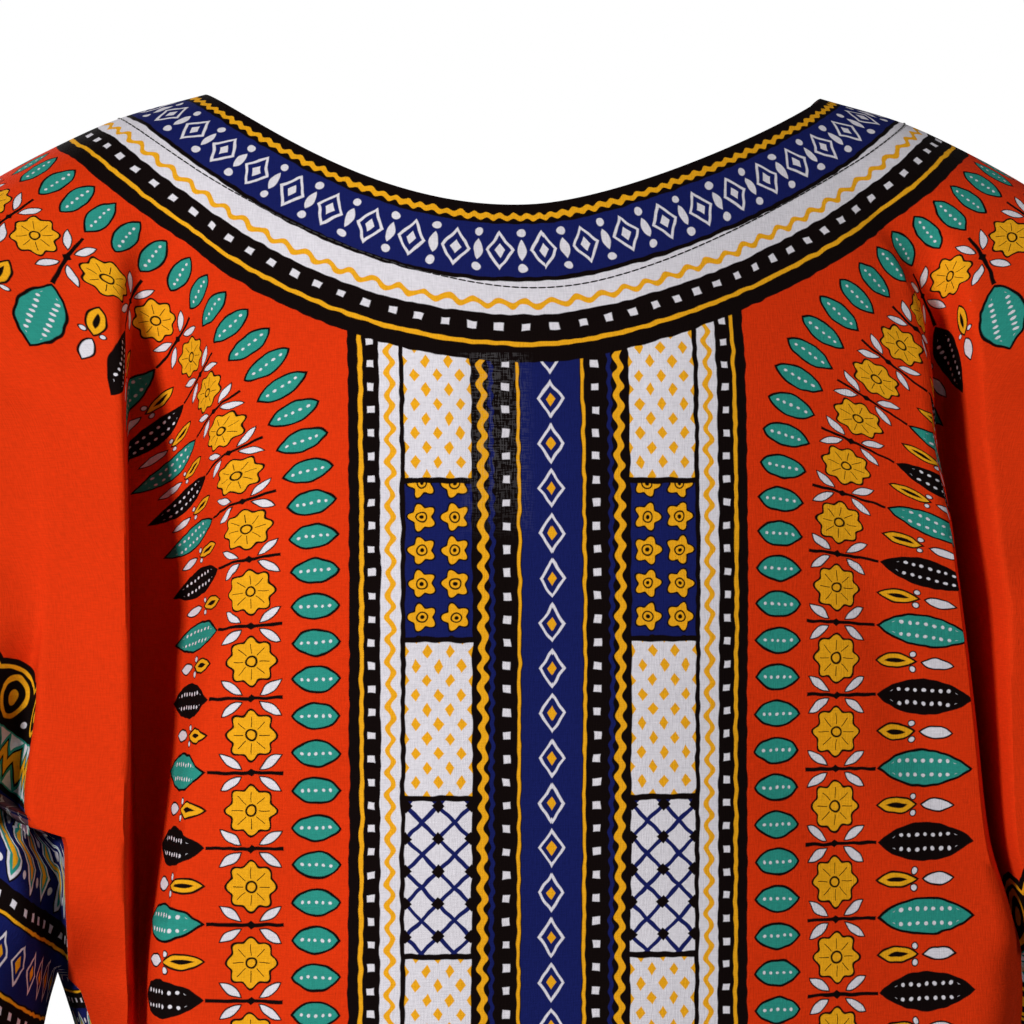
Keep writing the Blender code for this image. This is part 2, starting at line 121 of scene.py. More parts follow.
# The deep fold that runs from the shoulder to the underarm: its bottom line, and its width to each side.
# The cloth falls into it over this many widths, and turns over at the body's crest with this power. On the
# back the folds start higher and are wider than the solids'.
FOLD_REACH = 1.25
FOLD_CREST = 2.2
Fold = namedtuple("Fold", "z x depth body_width sleeve_width")
DEEP_FOLDS = {
    (BACK, LEFT): (
        Fold(-0.030, 0.1420, 0.000, 0.0220, 0.0200),
        Fold(-0.046, 0.1450, 0.003, 0.0220, 0.0150),
        Fold(-0.064, 0.1490, 0.009, 0.0230, 0.0105),
        Fold(-0.084, 0.1530, 0.019, 0.0245, 0.0068),
        Fold(-0.106, 0.1547, 0.030, 0.0255, 0.0048),
        Fold(-0.130, 0.1550, 0.038, 0.0256, 0.0040),
        Fold(-0.165, 0.1545, 0.044, 0.0280, 0.0036),
        Fold(-0.200, 0.1540, 0.050, 0.0285, 0.0035),
        Fold(-0.222, 0.1538, 0.050, 0.0218, 0.0034),
        Fold(-0.246, 0.1535, 0.050, 0.0188, 0.0036),
        Fold(-0.270, 0.1526, 0.049, 0.0143, 0.0052),
        Fold(-0.301, 0.1512, 0.045, 0.0072, 0.0075),
        Fold(-0.332, 0.1518, 0.038, 0.0031, 0.0060),
        Fold(-0.350, 0.1520, 0.032, 0.0028, 0.0050),
        Fold(-0.390, 0.1515, 0.026, 0.0060, 0.0060),
        Fold(-0.480, 0.1470, 0.022, 0.0220, 0.0140),
        Fold(-0.720, 0.1420, 0.018, 0.0400, 0.0340),
    ),
    (BACK, RIGHT): (
        Fold(-0.030, 0.1480, 0.000, 0.0220, 0.0180),
        Fold(-0.052, 0.1540, 0.005, 0.0180, 0.0120),
        Fold(-0.068, 0.1595, 0.013, 0.0140, 0.0090),
        Fold(-0.086, 0.1632, 0.023, 0.0110, 0.0078),
        Fold(-0.108, 0.1650, 0.034, 0.0090, 0.0080),
        Fold(-0.137, 0.1655, 0.041, 0.0080, 0.0085),
        Fold(-0.155, 0.1667, 0.043, 0.0058, 0.0092),
        Fold(-0.174, 0.1680, 0.046, 0.0035, 0.0098),
        Fold(-0.199, 0.1709, 0.046, 0.0031, 0.0112),
        Fold(-0.226, 0.1740, 0.046, 0.0026, 0.0090),
        Fold(-0.246, 0.1762, 0.044, 0.0025, 0.0074),
        Fold(-0.290, 0.1810, 0.040, 0.0024, 0.0050),
        Fold(-0.320, 0.1895, 0.026, 0.0030, 0.0038),
        Fold(-0.350, 0.1960, 0.008, 0.0060, 0.0030),
        Fold(-0.480, 0.1680, 0.018, 0.0240, 0.0180),
        Fold(-0.720, 0.1500, 0.016, 0.0380, 0.0340),
    ),
    (FRONT, LEFT): (
        Fold(0.000, 0.146, 0.000, 0.030, 0.024),
        Fold(-0.100, 0.154, 0.002, 0.030, 0.022),
        Fold(-0.160, 0.158, 0.011, 0.026, 0.018),
        Fold(-0.230, 0.159, 0.030, 0.017, 0.012),
        Fold(-0.290, 0.158, 0.040, 0.012, 0.010),
        Fold(-0.344, 0.156, 0.034, 0.012, 0.010),
        Fold(-0.480, 0.146, 0.022, 0.024, 0.020),
        Fold(-0.720, 0.138, 0.016, 0.040, 0.036),
    ),
    (FRONT, RIGHT): (
        Fold(0.000, 0.150, 0.000, 0.030, 0.024),
        Fold(-0.090, 0.158, 0.002, 0.028, 0.022),
        Fold(-0.160, 0.165, 0.014, 0.023, 0.017),
        Fold(-0.230, 0.170, 0.034, 0.015, 0.010),
        Fold(-0.290, 0.173, 0.040, 0.011, 0.008),
        Fold(-0.352, 0.175, 0.026, 0.011, 0.008),
        Fold(-0.480, 0.160, 0.024, 0.022, 0.018),
        Fold(-0.720, 0.146, 0.018, 0.040, 0.034),
    ),
}

# The groove that parts the flute under the arm from the sleeve. It ends just below the underarm.
GROOVE_FADE = 0.05
GROOVES = {
    LEFT: (
        Fold(-0.120, 0.2020, 0.000, 0.010, 0.014),
        Fold(-0.200, 0.1960, 0.002, 0.006, 0.014),
        Fold(-0.232, 0.1955, 0.016, 0.003, 0.014),
        Fold(-0.275, 0.2000, 0.030, 0.003, 0.014),
        Fold(-0.283, 0.1985, 0.030, 0.003, 0.014),
        Fold(-0.288, 0.1850, 0.030, 0.003, 0.014),
        Fold(-0.310, 0.1845, 0.030, 0.003, 0.012),
        Fold(UNDERARM, 0.1815, 0.024, 0.003, 0.010),
    ),
    RIGHT: (
        Fold(-0.120, 0.2140, 0.000, 0.010, 0.014),
        Fold(-0.220, 0.2080, 0.000, 0.008, 0.014),
        Fold(-0.300, 0.2040, 0.000, 0.006, 0.014),
        Fold(UNDERARM, 0.2035, 0.000, 0.003, 0.010),
    ),
}

# Soft flares that open towards the hem: x, width and depth at the hem, and the height where each starts.
Flare = namedtuple("Flare", "x width depth top")
FLARES = {
    BACK: (
        Flare(0.094, 0.022, 0.009, -0.42),
        Flare(0.046, 0.028, 0.011, -0.36),
        Flare(-0.018, 0.022, 0.007, -0.46),
        Flare(-0.078, 0.034, 0.013, -0.34),
    ),
    FRONT: (
        Flare(0.078, 0.030, 0.013, -0.32),
        Flare(0.014, 0.022, 0.008, -0.44),
        Flare(-0.052, 0.027, 0.012, -0.36),
        Flare(-0.104, 0.018, 0.008, -0.47),
    ),
}

# Small creases: the two ends of each line, its width and its depth. X is negative on the right.
Crease = namedtuple("Crease", "x0 z0 x1 z1 width depth")
CREASES = {
    BACK: (
        Crease(0.128, -0.030, 0.150, -0.110, 0.0120, 0.0030),
        Crease(-0.126, -0.028, -0.152, -0.105, 0.0100, 0.0028),
        Crease(0.104, -0.120, 0.142, -0.285, 0.0130, 0.0022),
        Crease(-0.112, -0.150, -0.160, -0.300, 0.0110, 0.0020),
        Crease(0.060, -0.240, 0.128, -0.372, 0.0150, 0.0018),
        Crease(-0.070, -0.225, -0.150, -0.352, 0.0140, 0.0016),
        Crease(-0.020, -0.060, -0.036, -0.200, 0.0200, 0.0012),
        Crease(0.045, -0.075, 0.030, -0.190, 0.0170, -0.0010),
        Crease(0.176, -0.130, 0.232, -0.092, 0.0080, 0.0022),
        Crease(0.168, -0.215, 0.236, -0.150, 0.0100, 0.0026),
        Crease(0.172, -0.262, 0.212, -0.205, 0.0070, -0.0016),
        Crease(0.215, -0.300, 0.258, -0.205, 0.0080, 0.0024),
        Crease(0.222, -0.372, 0.282, -0.292, 0.0090, 0.0030),
        Crease(0.212, -0.410, 0.246, -0.352, 0.0070, 0.0020),
        Crease(-0.186, -0.118, -0.238, -0.100, 0.0090, 0.0020),
        Crease(-0.182, -0.196, -0.248, -0.142, 0.0100, 0.0026),
        Crease(-0.196, -0.270, -0.246, -0.218, 0.0075, -0.0018),
        Crease(-0.206, -0.318, -0.268, -0.240, 0.0090, 0.0026),
        Crease(-0.232, -0.400, -0.292, -0.316, 0.0100, 0.0030),
        Crease(-0.236, -0.448, -0.262, -0.395, 0.0070, 0.0018),
        Crease(0.172, -0.366, 0.118, -0.468, 0.0130, 0.0034),
        Crease(0.164, -0.362, 0.148, -0.500, 0.0090, 0.0024),
        Crease(-0.190, -0.372, -0.140, -0.470, 0.0120, 0.0030),
        Crease(-0.198, -0.380, -0.184, -0.520, 0.0090, 0.0022),
        Crease(0.090, -0.560, 0.132, -0.640, 0.0120, 0.0020),
        Crease(-0.110, -0.540, -0.066, -0.655, 0.0130, 0.0024),
        Crease(0.010, -0.500, -0.030, -0.640, 0.0180, 0.0020),
    ),
    FRONT: (
        Crease(0.110, -0.060, 0.148, -0.200, 0.0140, 0.0028),
        Crease(-0.104, -0.070, -0.158, -0.215, 0.0130, 0.0030),
        Crease(0.070, -0.170, 0.140, -0.300, 0.0150, 0.0024),
        Crease(-0.082, -0.190, -0.150, -0.318, 0.0130, 0.0020),
        Crease(0.004, -0.200, 0.070, -0.330, 0.0160, 0.0016),
        Crease(-0.008, -0.215, -0.086, -0.352, 0.0170, 0.0018),
        Crease(0.172, -0.150, 0.240, -0.110, 0.0090, 0.0022),
        Crease(0.170, -0.235, 0.246, -0.160, 0.0110, 0.0028),
        Crease(0.208, -0.330, 0.264, -0.235, 0.0090, 0.0026),
        Crease(0.216, -0.400, 0.278, -0.318, 0.0090, 0.0028),
        Crease(-0.184, -0.140, -0.244, -0.116, 0.0080, 0.0020),
        Crease(-0.186, -0.240, -0.250, -0.170, 0.0110, 0.0030),
        Crease(-0.214, -0.340, -0.272, -0.255, 0.0090, 0.0024),
        Crease(-0.228, -0.425, -0.290, -0.330, 0.0100, 0.0030),
        Crease(0.168, -0.370, 0.104, -0.480, 0.0140, 0.0034),
        Crease(-0.186, -0.376, -0.128, -0.462, 0.0120, 0.0030),
        Crease(-0.180, -0.400, -0.160, -0.540, 0.0100, 0.0024),
        Crease(0.060, -0.520, 0.110, -0.640, 0.0140, 0.0026),
        Crease(-0.040, -0.470, 0.004, -0.620, 0.0180, 0.0020),
    ),
}

# How the rows of the sleeve slant: a row at this height on the body meets the top line at that height.
Slant = namedtuple("Slant", "body top")
SLANTS = (
    Slant(-0.098, -0.088),
    Slant(-0.240, -0.180),
    Slant(-0.350, -0.250),
    Slant(-0.500, -0.345),
)
CUFF_INNER_Z = {LEFT: -0.440, RIGHT: -0.480}
YOKE_END = {BACK: -0.095, FRONT: -0.225}
FAN_BEND = 0.75

# Roundness inward from the top line, wide on the shoulder and narrow on the sleeve, and where it changes.
SHOULDER_ROUND, SLEEVE_ROUND = 0.130, 0.056
ROUND_START, ROUND_END = 0.140, 0.235

# Cells of the mesh: across each span between two fold lines, and down each region.
SPANS = {"centre": 38, "fold_in": 20, "fold_out": 14, "flute": 14, "groove": 8, "sleeve": 30}
GROOVE_COLUMN = sum(SPANS.values()) - SPANS["sleeve"]
FLUTE_EDGE = 0.006
FACING_ROWS = 12
YOKE_ROWS = {BACK: 22, FRONT: 40}
CHEST_ROWS = {BACK: 64, FRONT: 36}
BODY_ROWS = 60
BODY_ROW_GROWTH = 1.15
CUFF_ROWS = 30
FAN_STEPS = 100
TOP_STEPS = 90


def curve(knots, values, at):
    """A smooth curve through (knots, values) that never overshoots, with limited slopes at each knot."""
    order = np.argsort(knots)
    knots = np.asarray(knots, float)[order]
    values = np.asarray(values, float)[order]
    steps = np.diff(knots)
    slopes = np.diff(values) / steps
    tangents = np.zeros(len(knots))
    before, after = slopes[:-1], slopes[1:]
    same_way = before * after > 0
    harmonic = 2 * before * after / np.where(same_way, before + after, 1)
    tangents[1:-1] = np.where(same_way, harmonic, 0)
    tangents[0], tangents[-1] = slopes[0], slopes[-1]
    at = np.clip(at, knots[0], knots[-1])
    cell = np.clip(np.searchsorted(knots, at) - 1, 0, len(steps) - 1)
    width = steps[cell]
    t = (at - knots[cell]) / width
    rise = 3 * t**2 - 2 * t**3
    ease_in = (t**3 - 2 * t**2 + t) * width * tangents[cell]
    ease_out = (t**3 - t**2) * width * tangents[cell + 1]
    return values[cell] * (1 - rise) + values[cell + 1] * rise + ease_in + ease_out


def column(table, name, z):
    """One named column of a table whose rows are heights, at the heights z."""
    return curve([row.z for row in table], [getattr(row, name) for row in table], z)


def ramp(low, high, x):
    """0 below low, 1 above high, with a soft rise between."""
    t = np.clip((x - low) / (high - low), 0, 1)
    return t * t * (3 - 2 * t)


def round_over(distance, length):
    """0 at an edge and 1 from this length inward, as a quarter of a circle."""
    t = 1 - np.clip(distance / length, 0, 1)
    return np.sqrt(1 - t * t)


def running(steps, axis=0):
    """The sums of steps along an axis, from 0."""
    before = [(int(number == axis), 0) for number in range(steps.ndim)]
    return np.pad(np.cumsum(steps, axis=axis), before)


def lengths(points, axis=0):
    """Length of the cloth along the rows or columns of a grid of points, from its first."""
    return running(np.linalg.norm(np.diff(points, axis=axis), axis=-1), axis)


def top_runs():
    """Distances from the neck point to the rows of the top line's table."""
    x = np.array([row.x for row in TOP_LINE])
    z = np.array([row.z for row in TOP_LINE])
    return running(np.hypot(np.diff(x), np.diff(z)))


def top_line(length):
    """(x, z) on the top line at this distance from the neck point."""
    runs = top_runs()
    return curve(runs, [row.x for row in TOP_LINE], length), curve(runs, [row.z for row in TOP_LINE], length)


def top_length_at(z):
    """Distance from the neck point to where the top line reaches the height z."""
    length = np.linspace(0, top_runs()[-1], 4 * TOP_STEPS)
    return np.interp(-np.asarray(z), -top_line(length)[1], length)


def distance_to_top(x, z):
    """Distance in the front view from (x, z) to the top line, which is carried on under the neck hole."""
    line_x, line_z = top_line(np.linspace(0, top_runs()[-1], TOP_STEPS))
    line_x = np.concatenate([[row.x for row in UNDER_NECK], line_x])
    line_z = np.concatenate([[row.z for row in UNDER_NECK], line_z])
    best = np.full(np.shape(x), np.inf)
    for x0, z0, x1, z1 in zip(line_x[:-1], line_z[:-1], line_x[1:], line_z[1:]):
        run_x, run_z = x1 - x0, z1 - z0
        t = np.clip(((x - x0) * run_x + (z - z0) * run_z) / (run_x**2 + run_z**2), 0, 1)
        best = np.minimum(best, np.hypot(x - x0 - t * run_x, z - z0 - t * run_z))
    return best


def trough(offset, width_in, width_out):
    """1 on a fold's bottom line, falling softly to 0 over its width towards the body or the sleeve. The
    body's side stays deep for longer and turns over more sharply at its crest."""
    share = np.abs(offset) / np.where(offset < 0, width_in, width_out) / FOLD_REACH
    return 1 - ramp(0, 1, np.where(offset < 0, share**FOLD_CREST, share))


def slit_distance(x, z, side, limb):
    """Distance from the underarm point or, below it, from the slit's edge on this limb."""
    table = SLITS[side]
    point = table[0]
    above = np.hypot(x - point.body, z - point.z)
    edge = column(table, limb, z)
    below = edge - x if limb == "body" else x - edge
    return np.where(z >= point.z, above, np.maximum(below, 0))


def fold_depth(table, x, z):
    """Depth of a fold or groove at (x, z), from its table."""
    widths = column(table, "body_width", z), column(table, "sleeve_width", z)
    return column(table, "depth", z) * trough(x - column(table, "x", z), *widths)


def flare_depth(x, z, face):
    """Depth between the soft flares at x, negative on the right, and height z."""
    total = np.zeros(np.shape(x))
    for flare in FLARES[face]:
        grown = ramp(0, 1, (flare.top - z) / (flare.top - HEM_Z))
        total = total + flare.depth * grown * np.exp(-(((x - flare.x) / flare.width) ** 2))
    return total


def crease_depth(x, z, face):
    """Depth of the small creases at x, negative on the right: each is a bell-shaped valley along a straight
    line, or a ridge where its depth is negative, and it fades towards both ends."""
    total = np.zeros(np.shape(x))
    for crease in CREASES[face]:
        run_x, run_z = crease.x1 - crease.x0, crease.z1 - crease.z0
        length = np.hypot(run_x, run_z)
        along = ((x - crease.x0) * run_x + (z - crease.z0) * run_z) / length**2
        off = ((x - crease.x0) * run_z - (z - crease.z0) * run_x) / length
        fade = ramp(-0.15, 0.35, along) * (1 - ramp(0.6, 1.15, along))
        total = total + crease.depth * fade * np.exp(-((off / crease.width) ** 2))
    return total


def plain_depth(x, z, face):
    """Depth of the body at its centre at this height, less the share lost out to the arm."""
    middle = column(DEPTHS, "back" if face == BACK else "front", z)
    return middle * (1 - column(DEPTHS, "fall", z) * ramp(FALL_START, FALL_END, x))


def shoulder_share(x, z):
    """The share of its depth that the cloth has at this distance in from the top line."""
    length = SHOULDER_ROUND + (SLEEVE_ROUND - SHOULDER_ROUND) * ramp(ROUND_START, ROUND_END, x)
    return round_over(distance_to_top(x, z), length)


def depth_of(x, z, face, side, limb):
    """Depth of the cloth from the plane through the seams: the plain depth, less every fold, flare and
    crease, rounded over to nothing at the top line and at the slit."""
    depth = plain_depth(x, z, face) - crease_depth(side * x, z, face)
    depth = depth - fold_depth(GROOVES[side], x, z) * ramp(UNDERARM - GROOVE_FADE, UNDERARM, z)
    deep = fold_depth(DEEP_FOLDS[face, side], x, z)
    if limb == "body":
        depth = depth - deep - flare_depth(side * x, z, face)
    else:
        depth = depth - deep * ramp(CUFF_INNER_Z[side], UNDERARM, z)
    pinch = column(SLITS[side], limb + "_round", z)
    return depth * shoulder_share(x, z) * round_over(slit_distance(x, z, side, limb), pinch)


def neck_z(x, face):
    """Height of the neck edge at x, negative on the right: a scoop behind and a V in front."""
    share = np.abs(x) / NECK_HALF
    if face == FRONT:
        return -NECK_DROP_FRONT * (1 - share) ** V_BOW
    sag = NECK_SAG_BACK * np.sin(np.pi * np.clip(x / NECK_HALF, -1, 1))
    return -NECK_DROP_BACK * (1 - share**NECK_CURVE) - sag


def spread(start, end, cells):
    """Places after start, up to and with end, closer together at both ends."""
    t = (1 - np.cos(np.pi * np.linspace(0, 1, cells + 1)[1:])) / 2
    return start + (end - start) * t


def row_places(z, face, side):
    """(x, z) of one whole row above the underarm, from the centre over the folds to the top line."""
    fold = DEEP_FOLDS[face, side]
    bottom = column(fold, "x", z)
    body_crest = bottom - column(fold, "body_width", z)
    sleeve_crest = bottom + column(fold, "sleeve_width", z)
    groove = column(GROOVES[side], "x", z)
    flute_end = groove - column(GROOVES[side], "body_width", z)
    top_z = curve([row.body for row in SLANTS], [row.top for row in SLANTS], z)
    sleeve_x, sleeve_z = sleeve_row(groove, z, top_z)
    body_x = across(body_crest, bottom, sleeve_crest, flute_end, groove)
    heights = np.full(len(body_x), float(z))
    return np.concatenate([body_x, sleeve_x]), np.concatenate([heights, sleeve_z])


def body_row(z, face, side):
    """(x, z) of a row of the body below the underarm, from the centre to the side seam."""
    fold = DEEP_FOLDS[face, side]
    bottom = column(fold, "x", z)
    body_crest = bottom - column(fold, "body_width", z)
    edge = column(SLITS[side], "body", z)
    sleeve_crest = bottom + min(column(fold, "sleeve_width", z), 0.4 * (edge - bottom))
    flute_end = edge - min(FLUTE_EDGE, 0.35 * (edge - sleeve_crest))
    x = across(body_crest, bottom, sleeve_crest, flute_end, edge)
    return x, np.full(len(x), float(z))


def across(body_crest, bottom, sleeve_crest, flute_end, edge):
    """Places across the body from the centre to its edge, closer together where the cloth turns."""
    places = (
        np.linspace(0, body_crest, SPANS["centre"] + 1),
        spread(body_crest, bottom, SPANS["fold_in"]),
        spread(bottom, sleeve_crest, SPANS["fold_out"]),
        spread(sleeve_crest, flute_end, SPANS["flute"]),
        spread(flute_end, edge, SPANS["groove"]),
    )
    return np.concatenate(places)


def sleeve_row(inner_x, z, top_z):
    """(x, z) of a row across the sleeve, after its place at inner_x, out to the top line."""
    outer_x, outer_z = top_line(top_length_at(top_z))
    share = spread(0, 1, SPANS["sleeve"])
    return inner_x + (outer_x - inner_x) * share, z + (outer_z - z) * share


def yoke_rows(face, side):
    """Rows that fan out from the neck edge to the first whole row, the facing's rows first."""
    end_x, end_z = row_places(YOKE_END[face], face, side)
    share = end_x / end_x[-1]
    start_x = NECK_HALF * share
    start_z = neck_z(side * start_x, face)
    last = top_length_at(end_z[-1])

    def at(t):
        bend = FAN_BEND * t**2 * (1 - t)
        line_x, line_z = top_line(last * t)
        chord_x = start_x[-1] + (end_x[-1] - start_x[-1]) * (t + bend)
        chord_z = start_z[-1] + (end_z[-1] - start_z[-1]) * (t - bend)
        x = start_x + (end_x - start_x) * (t + bend) + share**2 * (line_x - chord_x)
        z = start_z + (end_z - start_z) * (t - bend) + share**2 * (line_z - chord_z)
        return x, z

    steps = np.linspace(0, 1, FAN_STEPS + 1)
    fan = [at(np.full(len(share), step)) for step in steps]
    path = np.array([(x, z, depth_of(x, z, face, side, "body")) for x, z in fan])
    run = lengths(path.transpose(0, 2, 1))
    facing_end = np.array([np.interp(FACING, run[:, i], steps) for i in range(len(share))])
    below = np.linspace(0, 1, YOKE_ROWS[face] + 1)[1:]
    levels = [facing_end * k / FACING_ROWS for k in range(FACING_ROWS + 1)]
    levels += [facing_end + (1 - facing_end) * k for k in below]
    return [at(level) for level in levels]


def half_panel(face, side):
    """Places of half a panel as three grids: its upper part, then its body and sleeve below the underarm."""
    rows = yoke_rows(face, side)
    chest = np.linspace(YOKE_END[face], UNDERARM, CHEST_ROWS[face] + 1)[1:]
    upper = np.array(rows + [row_places(z, face, side) for z in chest])
    down = np.linspace(0, 1, BODY_ROWS + 1)[1:] ** BODY_ROW_GROWTH
    body = [upper[-1][:, : GROOVE_COLUMN + 1]]
    body += [body_row(UNDERARM + (HEM_Z - UNDERARM) * share, face, side) for share in down]
    sleeve = [upper[-1][:, GROOVE_COLUMN:]]
    top_start = upper[-1][1, -1]
    for share in np.linspace(0, 1, CUFF_ROWS + 1)[1:]:
        z = UNDERARM + (CUFF_INNER_Z[side] - UNDERARM) * share
        inner_x = column(SLITS[side], "sleeve", z)
        x, heights = sleeve_row(inner_x, z, top_start + (TOP_LINE[-1].z - top_start) * share)
        sleeve.append((np.concatenate([[inner_x], x]), np.concatenate([[z], heights])))
    return upper, np.array(body), np.array(sleeve)


# Parts of the print, as distances along the cloth: the collar out from the neck edge, the centre panel out
# from the middle of the body, the motifs out from both, and the dark border up from each sleeve end and the
# hem. On the body above the underarm the border starts at a column of the grid.
COLLAR = 0.065
PANEL_HALF = 0.077
CORNER_SOFTNESS = 0.022
MAPS = ("cut", "collar", "field", "border")
BORDER = 0.188
BORDER_ON_SLEEVE = {LEFT: 0.1745, RIGHT: 0.132}
BORDER_COLUMNS = dict.fromkeys(DEEP_FOLDS, GROOVE_COLUMN - SPANS["groove"])
BORDER_COLUMNS[BACK, RIGHT] = SPANS["centre"] + SPANS["fold_in"]
BORDER_SLANT = 2.0
FAR = 1.0

# The rows in which the print's true length is kept as it turns round the neck, the pitch of the collar's
# diamonds, and how far out the row of flowers lies.
COLLAR_MIDDLE, MOTIFS_MIDDLE = 0.022, 0.106
COLLAR_PITCH = 0.017
FLOWERS = 0.0375

# The flat cut is measured on this lattice, and up from this level.
FLAT_REACH, FLAT_TOP = 0.3405, 0.036
FLAT_STEP_X, FLAT_STEP_Z = 0.0005, 0.003
FLAT_LEVEL = -0.200

# Points of the neck edge, which behind begins a little past the middle.
NECK_STEPS = 90
PAST_MIDDLE = {BACK: 0.040, FRONT: 0.0}

HEM_TURN = 0.012
SHARP_ANGLE = 60

# A grid of points with its places on the flat cut, (u, v), and beside the neck edge, (m, turn, n); and a
# grid with its maps, whose cells may be turned the other way round.
Laid = namedtuple("Laid", "points u v m turn n")
Grid = namedtuple("Grid", "points maps turned")


def lay_flat(face, side):
    """A function for how far across and up the cut a place lies: across is the length of the cloth at one
    height from the centre, and up is the length of the plain cloth at one x from a level line."""
    heights = np.arange(HEM_Z - FLAT_STEP_Z, FLAT_TOP, FLAT_STEP_Z)
    x, z = np.meshgrid(np.arange(0, FLAT_REACH, FLAT_STEP_X), heights)
    line_x, line_z = top_line(np.linspace(0, top_runs()[-1], TOP_STEPS))
    under = (x < NECK_HALF) | (z < np.interp(x, line_x, line_z))
    across_by = {}
    for limb in ("body", "sleeve"):
        depth = np.where(under, depth_of(x, z, face, side, limb), 0)
        steps = np.hypot(np.diff(x, axis=1), np.diff(depth, axis=1))
        if limb == "sleeve":
            steps = np.where(x[:, 1:] < column(SLITS[side], "sleeve", z[:, 1:]), 0, steps)
        across_by[limb] = running(steps, 1)
    plain = np.where(under, plain_depth(x, z, face) * shoulder_share(x, z), 0)
    run = running(np.hypot(np.diff(z, axis=0), np.diff(plain, axis=0)))
    level = np.argmin(np.abs(z[:, 0] - FLAT_LEVEL))
    up = run - run[level] + FLAT_LEVEL

    def read(table, px, pz):
        column_at = np.clip((px - x[0, 0]) / FLAT_STEP_X, 0, x.shape[1] - 1.001)
        row_at = np.clip((pz - z[0, 0]) / FLAT_STEP_Z, 0, x.shape[0] - 1.001)
        i, j = row_at.astype(int), column_at.astype(int)
        di, dj = row_at - i, column_at - j
        top = table[i, j] * (1 - dj) + table[i, j + 1] * dj
        return top * (1 - di) + (table[i + 1, j] * (1 - dj) + table[i + 1, j + 1] * dj) * di

    point = SLITS[side][0]
    sleeve_start = read(across_by["body"], np.array(point.body), np.array(point.z))

    def place(px, pz, limb):
        u = read(across_by[limb], px, pz)
        return u + sleeve_start * (limb == "sleeve"), read(up, px, pz)

    return place


def off_neck(u, v, face, side, place):
    """(along, turn, off): how far along the neck edge from the centre the nearest point of it lies, for
    places over the flat cut, the angle of the line from there turned square, and its length. So along + d *
    turn is the length along a line that runs at the distance d from the edge, round the ends and corners of
    it too."""
    edge_x = np.linspace(-PAST_MIDDLE[face], NECK_HALF, NECK_STEPS)
    edge_u, edge_v = place(np.abs(edge_x), neck_z(side * edge_x, face), "body")
    edge = np.stack([np.sign(edge_x) * edge_u, edge_v], axis=1)
    steps = np.diff(edge, axis=0)
    runs = lengths(edge)
    runs -= np.interp(0, edge_x, runs)
    along, off = np.zeros(u.shape), np.full(u.shape, np.inf)
    foot_u, foot_v = np.zeros(u.shape), np.zeros(u.shape)
    for start, step, length, run in zip(edge, steps, np.diff(runs), runs):
        t = np.clip(((u - start[0]) * step[0] + (v - start[1]) * step[1]) / length**2, 0, 1)
        near_u, near_v = start[0] + t * step[0], start[1] + t * step[1]
        away = np.hypot(u - near_u, v - near_v)
        nearer = away < off
        along, off = np.where(nearer, run + t * length, along), np.where(nearer, away, off)
        foot_u, foot_v = np.where(nearer, near_u, foot_u), np.where(nearer, near_v, foot_v)
    angles = np.interp(along, (runs[:-1] + runs[1:]) / 2, np.arctan2(steps[:, 1], steps[:, 0]))
    turn = np.where(off > 1e-6, np.arctan2(v - foot_v, u - foot_u) + np.pi / 2, angles)
    return along, turn, off


def off_sleeve_end(x, z, side):
    """Distance in the front view from the straight line of the sleeve end, as the border is printed along
    it."""
    outer_x, outer_z = TOP_LINE[-1]
    run_x = outer_x - column(SLITS[side], "sleeve", CUFF_INNER_Z[side])
    run_z = outer_z - CUFF_INNER_Z[side]
    return ((outer_x - x) * run_z - (outer_z - z) * run_x) / np.hypot(run_x, run_z)


def laid_grids(face, side):
    """The three grids of half a panel, its upper part, body and sleeve, with their places on the flat cut."""
    place = lay_flat(face, side)
    grids = []
    for places, limb in zip(half_panel(face, side), ("body", "body", "sleeve")):
        x, z = places[:, 0], places[:, 1]
        depth = np.maximum(depth_of(x, z, face, side, limb), 0)
        depth[:, -1] = 0
        if not grids:
            depth[-1, GROOVE_COLUMN] = 0
        if limb == "sleeve":
            depth[:, 0] = 0
        points = np.stack([side * x, face * depth, z], axis=2)
        u, v = place(x, z, limb)
        grids.append(Laid(points, u, v, *off_neck(u, v, face, side, place)))
    return grids


def runs_to_ends(upper, body, sleeve):
    """Lengths down the cloth to the sleeve end and to the hem for each grid, far where it leads to none."""
    count = len(upper)
    sleeve_run = lengths(np.concatenate([upper[:, GROOVE_COLUMN:], sleeve[1:]])[::-1])[::-1]
    body_run = lengths(np.concatenate([upper[:, : GROOVE_COLUMN + 1], body[1:]])[::-1])[::-1]
    to_cuff = [np.full(upper.shape[:2], FAR), np.full(body.shape[:2], FAR), sleeve_run[count - 1 :]]
    to_cuff[0][:, GROOVE_COLUMN:] = sleeve_run[:count]
    to_hem = [np.full(upper.shape[:2], FAR), body_run[count - 1 :], np.full(sleeve.shape[:2], FAR)]
    to_hem[0][:, : GROOVE_COLUMN + 1] = body_run[:count]
    return zip(to_cuff, to_hem)


def motif_places(upper):
    """A function for a grid's places (t, s) along and out from the printed outline. A flower lies on the seam
    along the shoulder, so that the print goes on over it."""
    off_corner = np.abs(upper.n - COLLAR) + np.abs(upper.u - PANEL_HALF)
    corner = np.unravel_index(np.argmin(off_corner), off_corner.shape)
    corner_m, corner_v = (upper.m + MOTIFS_MIDDLE * upper.turn)[corner], upper.v[corner]

    def beside_outline(grid):
        along = grid.m + MOTIFS_MIDDLE * grid.turn - corner_m
        return printed_outline(grid.u - PANEL_HALF, grid.n - COLLAR, grid.v - corner_v, along)

    t, s = beside_outline(upper)
    start = t[np.argmin(np.abs(s[:, -1] - FLOWERS)), -1]

    def places(grid):
        t, s = beside_outline(grid)
        return t - start, s

    return places


